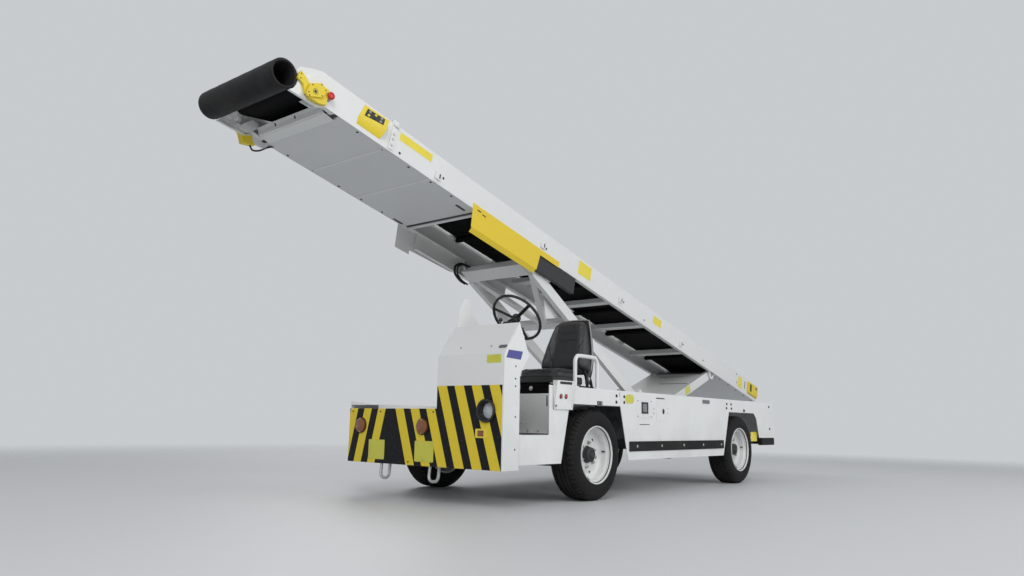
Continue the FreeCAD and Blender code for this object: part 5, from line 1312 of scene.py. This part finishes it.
def lamp_box():
    """Tapering sheet box on the side by the seat, open at its top, with two red lamps. A black
    sheet inside, a black strip at its mouth and a black hole are painted shade.
    """
    front, rear, low, top = -0.597, -0.36, 0.68, 0.888
    foot, out = SIDE + 0.01, SIDE + 0.0395
    wall = SIDE + 0.0004
    end = [(wall, low), (foot, low), (out, top), (wall, top)]
    wide = [(foot, low), (out, top), (out - 0.003, top), (foot - 0.003, low)]
    skin = merge(prism(wide, front, rear, "y"),
        prism(end, front, front + 0.003, "y"), prism(end, rear - 0.003, rear, "y"),
        box((wall, front, low), (foot, rear, low + 0.003)),
        box((out - 0.01, front, top - 0.004), (out, rear, top)))
    made("lamp_box_skin", skin, BODY_WHITE, "body_white", 0.0008)
    # painted shade: a black sheet just under the open top stands for the shade inside the box
    made("lamp_box_inside", box((SIDE + 0.0006, front + 0.02, top - 0.022),
        (out - 0.012, rear - 0.02, top - 0.019)), FRAME_BLACK)
    lean = np.array([top - low, 0, -(out - foot)])
    lean /= np.linalg.norm(lean)
    slope = (out - foot) / (top - low)
    # painted shade: a thin black strip at the mouth near the top of the sloping face
    gap = [(foot + slope * (z - low) + d, z) for z, d in ((0.862, 0.0004), (0.88, 0.0004),
        (0.88, 0.0012), (0.862, 0.0012))]
    made("lamp_box_mouth", prism(gap, -0.56, -0.408, "y"), BLACK)

    def on_face(y, z):
        return foot + (out - foot) * (z - low) / (top - low), y, z

    lens_shape = lathe([(0, 0.0105), (0.007, 0.01), (0.011, 0.0085), (0.013, 0.0055), (0.0138, 0)],
        24, "z")
    ring = lathe([(0.0135, 0.004), (0.0165, 0.004), (0.018, 0.0025), (0.018, 0), (0.0135, 0)], 24,
        "z")
    spots = [on_face(-0.53, 0.774), on_face(-0.466, 0.774)]
    made("tail_lenses", repeated(lens_shape, spots, facing(lean)), RED_LENS, "lamp")
    made("tail_lens_rings", repeated(ring, spots, facing(lean)), BLACK)
    # painted shade: the hole is a black disc on the sloping face
    hole = lathe([(0, 0.0005), (0.008, 0.0005), (0.0088, 0.0009), (0.0095, 0)], 18, "z")
    made("lamp_box_hole", repeated(hole, [on_face(-0.577, 0.705)], facing(lean)), BLACK)


# ------------------------------------------------------------------ driver's station

SEAT_X = 0.54
BACK_LEAN = math.radians(10)


def swollen(piece, cell, pressure, cap):
    """Makes the piece a padded skin: remeshed, blown up gently by cloth, each move capped."""
    scene = bpy.context.scene
    work = piece.copy()
    work.data = piece.data.copy()
    scene.collection.objects.link(work)
    work.modifiers.clear()
    remesh = work.modifiers.new("Cells", "REMESH")
    remesh.mode, remesh.voxel_size = "VOXEL", cell
    graph = bpy.context.evaluated_depsgraph_get()
    start = bpy.data.meshes.new_from_object(work.evaluated_get(graph))
    work.modifiers.clear()
    work.data = start
    cloth = work.modifiers.new("Skin", "CLOTH")
    cloth.settings.use_pressure = True
    cloth.settings.uniform_pressure_force = pressure
    cloth.settings.effector_weights.gravity = 0
    cloth.settings.quality = 5
    cloth.point_cache.frame_start, cloth.point_cache.frame_end = 1, 20
    for moment in range(1, 21):
        scene.frame_set(moment)
    graph = bpy.context.evaluated_depsgraph_get()
    ended = bpy.data.meshes.new_from_object(work.evaluated_get(graph))
    before = rows_of(start)
    move = rows_of(ended) - before
    size = np.linalg.norm(move, axis=1, keepdims=True)
    move *= np.minimum(1, cap / np.maximum(size, 1e-09))
    ended.vertices.foreach_set("co", (before + move).ravel())
    for face in ended.polygons:
        face.use_smooth = True
    scene.frame_set(1)
    ended.materials.clear()
    ended.materials.append(piece.data.materials[0])
    bpy.data.objects.remove(work)
    piece.data = ended
    piece.modifiers.clear()
    soft = piece.modifiers.new("Soft", "SUBSURF")
    soft.levels, soft.render_levels = 1, 1


def pad_shape(width, length, height, crown, bolster):
    """A closed pad on a grid: outline a rounded rectangle, top crowned, sides raised.

    Across u and along v from -1 to 1, the height is a rounded box's (1 - |u|^7)(1 - |v|^7)
    to the power 0.28, plus the crown times (1 - u^2)(1 - v^2), plus the bolster times
    exp(-((|u| - 0.8) / 0.15)^2)(1 - v^4). The underside is flat. The corners are rounded by
    squeezing u by the 7th power of |v|, and v by that of |u|.
    """
    rows = columns = 40
    pinch = 0.82
    u, v = np.meshgrid(np.linspace(-1, 1, columns), np.linspace(-1, 1, rows))
    squeeze_u = 1 - (1 - pinch) * np.abs(v) ** 7
    squeeze_v = 1 - (1 - pinch) * np.abs(u) ** 7
    shell = np.clip((1 - np.abs(u) ** 7) * (1 - np.abs(v) ** 7), 0, 1) ** 0.28
    swell = crown * (1 - u ** 2) * (1 - v ** 2)
    wing = bolster * np.exp(-((np.abs(u) - 0.8) / 0.15) ** 2) * (1 - np.abs(v) ** 4)
    x, y = u * squeeze_u * width / 2, v * squeeze_v * length / 2
    top = np.stack([x, y, height * shell + swell + wing], -1).reshape(-1, 3)
    foot = np.stack([x, y, np.zeros_like(x)], -1).reshape(-1, 3)
    faces = quads(rows, columns)
    return merge((top, faces), (foot, [face[::-1] for face in faces]))


def channelled(piece, lines, depth, width, normal):
    """Sinks sewn lines into a pad: each line runs from one point to another across the face.

    A point drops against the normal by depth times exp(-(distance / width)^2), and less
    where the skin there looks away from the normal.
    """
    mesh = piece.data
    spots = rows_of(mesh)
    facing_out = np.clip(rows_of(mesh, "normal") @ normal, 0, 1)
    for start, end in lines:
        start, end = np.array(start), np.array(end)
        run = end - start
        t = np.clip((spots - start) @ run / (run @ run), 0, 1)
        away = spots - (start + t[:, None] * run)
        away -= (away @ normal)[:, None] * normal
        gap = np.linalg.norm(away, axis=1)
        spots = spots - (depth * np.exp(-(gap / width) ** 2) * facing_out)[:, None] * normal
    mesh.vertices.foreach_set("co", spots.ravel())
    mesh.update()


def back_shape():
    """The seat back's pad on a grid, u across and v upwards from 0 to 1.

    Half the width is 0.228 - 0.084 v^1.3, a tenth less at both ends, and the top corners drop
    by 0.03 |u|^6. The front stands out by a shell of (1 - |u|^8)^0.3 (1 - |2v - 1|^10)^0.3
    times the sum of 0.078, side bolsters of (0.072 (1 - v)^0.7 + 0.006) times
    exp(-((|u| - 0.82) / 0.17)^2), and a lumbar swell. The rear is flat.
    """
    rows = columns = 44
    u, v = np.meshgrid(np.linspace(-1, 1, columns), np.linspace(0, 1, rows))
    half = 0.228 - 0.084 * v ** 1.3
    shell = np.clip((1 - np.abs(u) ** 8) * (1 - np.abs(2 * v - 1) ** 10), 0, 1) ** 0.3
    wing = (0.072 * (1 - v) ** 0.7 + 0.006) * np.exp(-((np.abs(u) - 0.82) / 0.17) ** 2)
    lumbar = 0.014 * np.exp(-((v - 0.28) / 0.22) ** 2) * (1 - u ** 2)
    x = u * half * (1 - 0.1 * np.abs(2 * v - 1) ** 14)
    z = 0.458 * v - 0.03 * np.abs(u) ** 6 * v ** 3
    front = np.stack([x, 0.078 - 0.078 * shell - (wing + lumbar) * shell, z], -1)
    rear = np.stack([x, 0 * x + 0.078, z], -1)
    faces = quads(rows, columns)
    return merge((front.reshape(-1, 3), faces), (rear.reshape(-1, 3),
        [face[::-1] for face in faces]))


def seat():
    """Suspension seat: bellows on slides, plastic pans, padded cushion and winged back."""
    middle_y = BODY.origin[1] - 0.14
    cushion = Place((SEAT_X, middle_y, 0.926))
    pad = made("seat_cushion_pad", pad_shape(0.404, 0.392, 0.062, 0.01, 0.01), VINYL, "seat_vinyl",
        place=cushion, replaces=["seat_cushion"])
    hinge = Place((SEAT_X + 0.004, BODY.origin[1] + 0.06, 0.99), -BACK_LEAN)
    back = made("seat_back_pad", back_shape(), VINYL, "seat_vinyl", place=hinge,
        replaces=["seat_back"])
    swollen(pad, 0.006, 4.0, 0.009)
    swollen(back, 0.006, 4.0, 0.009)
    up = np.array([0, 0, 1.0])
    y0, y1, top = middle_y - 0.185, middle_y + 0.185, 1.0
    side_lines = [([SEAT_X + s * 0.122, y0, top], [SEAT_X + s * 0.132, y1, top]) for s in (-1, 1)]
    cross = [([SEAT_X - 0.118, middle_y + d, top], [SEAT_X + 0.118, middle_y + d, top])
        for d in (-0.09, 0.02)]
    channelled(pad, side_lines, 0.006, 0.006, up)
    channelled(pad, cross, 0.004, 0.005, up)
    forward = hinge.put([[0, -1, 0]])[0] - hinge.origin
    seams = [((-0.088, 0.336), (0.088, 0.336)), ((-0.08, 0.272), (0.105, 0.272))]
    wing_line = ((0.116, 0.02), (0.126, 0.1), (0.148, 0.19), (0.172, 0.265))
    for s in (-1, 1):
        bend = [(s * x, z) for x, z in wing_line]
        seams += list(zip(bend[:-1], bend[1:]))
        seams.append(((s * 0.108, 0.272), (s * 0.098, 0.42)))
    lines = [[hinge.put([[x, -0.06, z]])[0] for x, z in ends] for ends in seams]
    channelled(back, lines, 0.007, 0.0065, forward)
    side = [(0.2, 0.0), (0.214, 0.06), (0.206, 0.18), (0.18, 0.32), (0.153, 0.425), (0.12, 0.463)]
    outline = flowing(side + [(-x, z) for x, z in side[::-1]], 5)
    made("seat_back_shell", prism(outline, 0.078, 0.1, "y"), BLACK, bevel=0.007, place=hinge)
    # painted highlight: the back's side piping is light grey to stand for the light caught along
    # its edge
    edge = [(x * 1.012, 0.073, z) for x, z in outline]
    made("seat_back_piping", sweep(edge, circle(0.0055, 8), (0, 1, 0)), GREY_BASE, place=hinge)
    ribs = [prism(rounded(0.012, 0.3, 0.004) + [x, 0.22], 0.099, 0.105, "y")
        for x in (-0.11, -0.055, 0.0, 0.055, 0.11)]
    made("seat_shell_ribs", merge(*ribs), BLACK, bevel=0.002, place=hinge)
    pan = prism(rounded(0.416, 0.4, 0.05), -0.036, 0.01, "z")
    made("seat_pan", pan, BLACK, bevel=0.008, place=cushion)
    piping = rounded(0.398, 0.386, 0.05, 8)
    for name, level in (("seat_piping_low", 0.013), ("seat_piping_top", 0.058)):
        inset = piping * (1.012 if level < 0.05 else 0.985)
        made(name, sweep(np.column_stack([inset, np.full(len(piping), level)]), circle(0.0042, 8),
            (0, 0, 1), closed=True), BLACK, place=cushion)
    for s, name in HANDS[::-1]:
        hinge_plate = prism([(0.012, -0.09), (0.072, -0.09), (0.098, 0.02), (0.1, 0.12),
            (0.07, 0.12), (0.04, 0.0)], s * 0.21 - 0.004, s * 0.21 + 0.004)
        made("seat_hinge_" + name, hinge_plate, FRAME_BLACK, bevel=0.002, place=hinge)
        made("seat_hinge_bolt_" + name, repeated(hexagon(0.011, 0.008),
            [(s * 0.214, 0.052, -0.045)], facing((s, 0, 0))), ZINC, place=hinge)
    lever = pipe([(0.206, -0.04, -0.032), (0.21, -0.12, -0.03), (0.212, -0.17, -0.02)], 0.007,
        (0, 0, 1), 12)
    made("seat_lever", lever, BLACK, place=cushion)
    levels = np.linspace(0.803, 0.886, 17)
    outlines = [rounded(0.35 - 2 * i, 0.38 - 2 * i, 0.03, 4) for i in [0.0, 0.012] * 8 + [0.0]]
    points = np.concatenate([np.column_stack([o + [SEAT_X, -0.14], np.full(len(o), h)])
        for o, h in zip(outlines, levels)])
    count = len(outlines[0])
    ends = [list(range(count))[::-1], list(range(16 * count, 17 * count))]
    made("seat_bellows", (points, quads(17, count, wrap_columns=True) + ends), RUBBER,
        "rubber_black")
    rails = merge(*[box((SEAT_X + s * 0.17 - 0.012, -0.345, 0.878),
        (SEAT_X + s * 0.17 + 0.012, 0.05, 0.8905)) for s in (-1, 1)])
    made("seat_rails", rails, MACHINED, bevel=0.0015)
    made("seat_front_bolt", repeated(hexagon(0.013, 0.01), [(0.505, -0.331, 0.846)],
        facing((0, -1, 0))), ZINC)
    runs = (
        (0.012, [(0.742, 0.05, 1.005), (0.75, 0.075, 0.95), (0.756, 0.09, 0.858)]),
        (0.012, [(0.742, 0.06, 0.99), (0.75, 0.13, 0.94), (0.756, 0.155, 0.858)]),
        (0.0035, [(0.728, 0.11, 1.19), (0.748, 0.125, 1.08), (0.744, 0.07, 0.99)]),
        (0.0035, [(0.724, 0.13, 1.2), (0.756, 0.15, 1.07), (0.75, 0.11, 0.96)]))
    made("seat_hoses", merge(*[pipe(line, radius, sides=10) for radius, line in runs]), HOSE)


def guard_rail():
    """Bent tube beside the seat, its two feet on the deck's edge."""
    rail_x, feet = 0.88, (-0.272, 0.038)
    line = [(rail_x, y, z) for y, z in ((feet[0], 0.853), (feet[0], 1.025), (-0.268, 1.06),
        (-0.25, 1.084), (-0.215, 1.094), (-0.02, 1.094), (0.015, 1.084), (0.033, 1.06),
        (feet[1], 1.025), (feet[1], 0.853))]
    made("guard_rail", sweep(flowing(line, 6), circle(0.0155, 20), (1, 0, 0)), LIFT_WHITE,
        "lift_white", replaces=["guard_bar"])
    ring = lathe([(0.0165, 0.001), (0.03, 0.001), (0.031, -0.006), (0.0165, -0.006)], 24, "z")
    made("guard_feet", repeated(ring, [(rail_x, y, 0.858) for y in feet]), LIFT_WHITE,
        "lift_white")


def steering():
    """Wheel rim, three spokes, horn cap, boot round the column, stalk and shift lever.

    The rim's grip is a ring whose own radius is 11.2 mm plus 0.5 times the cosine of 24 turns.
    """
    hub = Place(BODY.put([[0.54, -0.568, 1.373]])[0], -WHEEL_LEAN)
    rim_radius = 0.202

    def turning(name, shape, **more):
        made(name, shape, WHEEL_GRIP, "steering_black", body="steering_wheel", place=hub, **more)

    turn = np.linspace(0, 2 * math.pi, 120, endpoint=False)[:, None]
    grip = 0.0112 + 0.0005 * np.cos(turn * 24)
    a = np.linspace(0, 2 * math.pi, 16, endpoint=False)
    out = rim_radius + grip * np.cos(a)
    ring = np.stack([np.cos(turn) * out, np.sin(turn) * out, grip * np.sin(a) + 0 * turn], -1)
    turning("wheel_rim_grip", (ring.reshape(-1, 3), quads(120, 16, True, True)),
        replaces=["steering_wheel"])
    run = np.linspace(0.028, 0.198, 12)
    dish = -0.014 * (1 - (run - 0.028) / 0.17) ** 1.5
    for k, angle in enumerate((90, 210, 330)):
        c, s = math.cos(math.radians(angle)), math.sin(math.radians(angle))
        path = np.column_stack([run * c, run * s, dish])
        turning("wheel_spoke_%d" % k, sweep(path, rounded(0.026, 0.008, 0.0035, 4), (-s, c, 0)))
    boss = [(0, 0.02), (0.016, 0.0195), (0.027, 0.016), (0.0305, 0.01), (0.031, 0.006),
        (0.034, 0.004), (0.036, -0.004), (0.035, -0.022), (0.028, -0.028), (0, -0.028)]
    turning("wheel_boss", lathe(boss, 36, "z"))
    folds = [(0.026 + (0.006 if k % 2 else 0.0) + 0.0012 * k, -0.05 - 0.007 * k) for k in range(9)]
    made("column_boot", lathe([(0.024, -0.048)] + folds + [(0.024, -0.112)], 28, "z"), RUBBER,
        "rubber_black", place=hub)
    shroud = prism(rounded(0.098, 0.092, 0.018), -0.185, -0.112, "z")
    made("column_shroud", shroud, BLACK, bevel=0.006, place=hub)
    stalk = pipe([(0.04, 0.01, -0.14), (0.072, 0.02, -0.132), (0.1, 0.028, -0.118)], 0.005,
        (0, 0, 1), 10)
    tip = pipe([(0.09, 0.025, -0.123), (0.102, 0.029, -0.117), (0.116, 0.033, -0.11)], 0.008,
        (0, 0, 1), 12)
    made("signal_stalk", merge(stalk, tip), BLACK, place=hub)
    lever = pipe([(-0.04, 0.01, -0.15), (-0.075, -0.01, -0.12), (-0.1, -0.03, -0.07)], 0.0055,
        (0, 0, 1), 10)
    ball = lathe([(0, 0.016), (0.008, 0.0145), (0.0145, 0.007), (0.016, 0), (0.0145, -0.007),
        (0.008, -0.0145), (0, -0.016)], 20, "z", (-0.102, -0.032, -0.064))
    made("shift_lever", merge(lever, ball), BLACK, place=hub)


def dash():
    """Instrument box on the hood's back, with dials, switches, key and warning lights."""
    low = np.array([-0.881, 1.038])
    high = np.array([-0.995, 1.266])
    run = high - low
    tilt = math.atan2(run[1], run[0])
    face = Place(BODY.put([[0.0, *low]])[0], tilt)
    length = float(np.hypot(*run))
    frame_box = prism(rounded(0.42, 0.15, 0.012) + [0.6, length - 0.105], -0.0185, -0.0015, "z")
    made("dash_plate", frame_box, BLACK, bevel=0.003, place=face)
    dial = lathe([(0, -0.023), (0.033, -0.023), (0.033, -0.026), (0.038, -0.027), (0.04, -0.025),
        (0.04, -0.018), (0, -0.018)], 32, "z")
    spots = [(x, length - 0.095, 0) for x in (0.465, 0.56)]
    made("dash_dials", repeated(dial, spots), ZINC, place=face)
    pane = lathe([(0, -0.0236), (0.032, -0.0236), (0.032, -0.0228), (0, -0.0228)], 32, "z")
    made("dash_faces", repeated(pane, spots), GREY_PANE, place=face)
    hand = prism([(-0.001, 0.0), (0.001, 0.0), (0.0205, 0.019), (0.019, 0.0205)], -0.0244, -0.0237,
        "z")
    made("dash_hands", repeated(hand, spots), YELLOW_PLATE, place=face)
    rocker = prism(rounded(0.02, 0.034, 0.003), -0.025, -0.018, "z")
    switches = [(x, length - 0.095, 0) for x in (0.64, 0.67, 0.7, 0.73, 0.76)]
    made("dash_rockers", repeated(rocker, switches), WHEEL_GRIP, bevel=0.0015, place=face)
    key = lathe([(0, -0.026), (0.011, -0.026), (0.012, -0.024), (0.012, -0.018), (0, -0.018)], 20,
        "z", (0.64, length - 0.15, 0))
    made("dash_key", key, ZINC, place=face)
    lights = repeated(lathe([(0, -0.0225), (0.004, -0.022), (0.0055, -0.0195), (0.0055, -0.018)],
        14, "z"), [(x, length - 0.152, 0) for x in (0.68, 0.702, 0.724, 0.746)])
    made("dash_lights", lights, RED_LENS, "lamp", place=face)


def pedals():
    """Brake and accelerator: ribbed rubber pads on bent arms, and a grip mat on the floor."""
    for name, x, width in (("brake", 0.52, 0.08), ("throttle", 0.68, 0.052)):
        arm = pipe([(x, -0.985, 0.76), (x, -0.96, 0.68), (x, -0.9, 0.612)], 0.009, (1, 0, 0), 10)
        made(name + "_arm", arm, FRAME_BLACK, "black_steel")
        tread = Place(BODY.put([[x, -0.89, 0.6]])[0], math.radians(-52))
        pad = merge(prism(rounded(width, 0.07, 0.008), -0.006, 0.004, "z"),
            *[box((-width / 2 + 0.006, y - 0.003, 0.004), (width / 2 - 0.006, y + 0.003, 0.007))
            for y in np.linspace(-0.026, 0.026, 6)])
        made(name + "_pad", pad, RUBBER, "rubber_black", 0.0008, place=tread)
    mat = prism(rounded(0.56, 0.5, 0.02) + [0.6, -0.715], 0.4995, 0.5045, "z")
    made("floor_mat", mat, GRIT, "rubber_black", 0.0015)
    step = prism(rounded(0.016, 0.3, 0.004) + [0.905, -0.812], 0.4992, 0.5032, "z")
    made("sill_tread", step, GRIT, bevel=0.001)
    foot = [(0.905, y, 0.505) for y in (-0.95, -0.68)]
    made("sill_screws", repeated(stud(0.005, 0.002), foot), ZINC)
    bolts = [(x, -0.4365, 0.52) for x in np.linspace(0.36, 0.86, 6)]
    made("riser_bolts", repeated(hexagon(0.008, 0.006), bolts, facing((0, -1, 0))), ZINC)


def hood_signs():
    """Bare plates and screws on the console's front sheets, and the fin on its inner wall."""
    thin_plate("console_sign", (0.755, 0.977), (0.881, 1.033), FRONT - 0.0014, 0.0012,
        LIME_PLATE, "y")
    slope = Place(BODY.put([[0, FRONT, 1.039]])[0], math.radians(55.85))
    made("console_badge", prism(rounded(0.072, 0.026, 0.01) + [0.868, 0.06], 0.0002, 0.003, "z"),
        GREY_PLATE, bevel=0.001, place=slope)
    made("hood_screws", repeated(stud(0.006, 0.003), [(x, 0.068, 0) for x in (0.476, 0.76)]),
        DARK_BOLT, place=slope)
    fin = [(-0.956, 1.25), (-0.959, 1.374), (-0.934, 1.435), (-0.905, 1.48), (-0.889, 1.496),
        (-0.869, 1.501), (-0.853, 1.497), (-0.843, 1.484), (-0.823, 1.435), (-0.802, 1.388),
        (-0.763, 1.34), (-0.715, 1.307), (-0.69, 1.25)]
    made("console_fin", prism(fin, 0.2895, 0.2985), BODY_WHITE, "body_white", 0.002)


def arm_details():
    """Plates, bolts and a hose loop at the arm's head, gussets and a label on the beams."""
    plate_line = [(-3.855, -0.03), (-3.835, -0.012), (-3.7, -0.012), (-3.672, -0.04),
        (-3.672, -0.086), (-3.7, -0.108), (-3.79, -0.112), (-3.85, -0.085)]
    head = merge(*[prism(plate_line, side * 0.326 - 0.004, side * 0.326 + 0.004)
        for side in (-1, 1)])

    def on_head(name, shape, paint, slot=None, bevel=0.0):
        made(name, shape, paint, slot, bevel, "front_arm", CONVEYOR)

    on_head("arm_head_plates", head, LIFT_WHITE, "lift_white", 0.002)
    corner_bolts = ((-3.83, -0.034), (-3.7, -0.034), (-3.7, -0.086), (-3.815, -0.086))
    for side, name in HANDS:
        bolts = [(side * 0.322, y, z) for y, z in corner_bolts]
        on_head("arm_head_bolts_" + name, repeated(hexagon(0.01, 0.008), bolts,
            facing((-side, 0, 0))), ZINC)
    loop = [(-0.318, -3.8, -0.06), (-0.322, -3.885, -0.072), (-0.326, -3.945, -0.12),
        (-0.326, -3.935, -0.185), (-0.318, -3.87, -0.226), (-0.306, -3.8, -0.24)]
    on_head("arm_hose_loop", pipe(loop, 0.011), HOSE)
    second = [(x + 0.024, y + 0.012, z - 0.006) for x, y, z in loop]
    on_head("arm_hose_second", pipe(second, 0.008), HOSE)
    corners = [(0.47, 1.708), (0.696, 1.57), (0.505, 1.548)]
    for name, start in (("left", 0.02), ("right", -0.556)):
        made("arm_gusset_" + name, prism(corners, start, start + 0.006), LIFT_WHITE, "lift_white",
            0.001, body="front_arm")
    made("arm_sign", prism([(0.69, -0.038), (0.815, -0.038), (0.815, 0.044), (0.69, 0.044)],
        0.3802, 0.3814), LIME_PLATE, body="rear_arm", place=REAR_ARM)
    # painted shade: the plate's slit is a thin black plate
    made("arm_plate_slit", box((-0.042, 0.857, 0.05), (0.325, 0.875, 0.0506)), BLACK,
        body="rear_arm", place=REAR_ARM)


side_details()
lamp_box()
arm_details()
seat()
guard_rail()
steering()
dash()
pedals()
hood_signs()
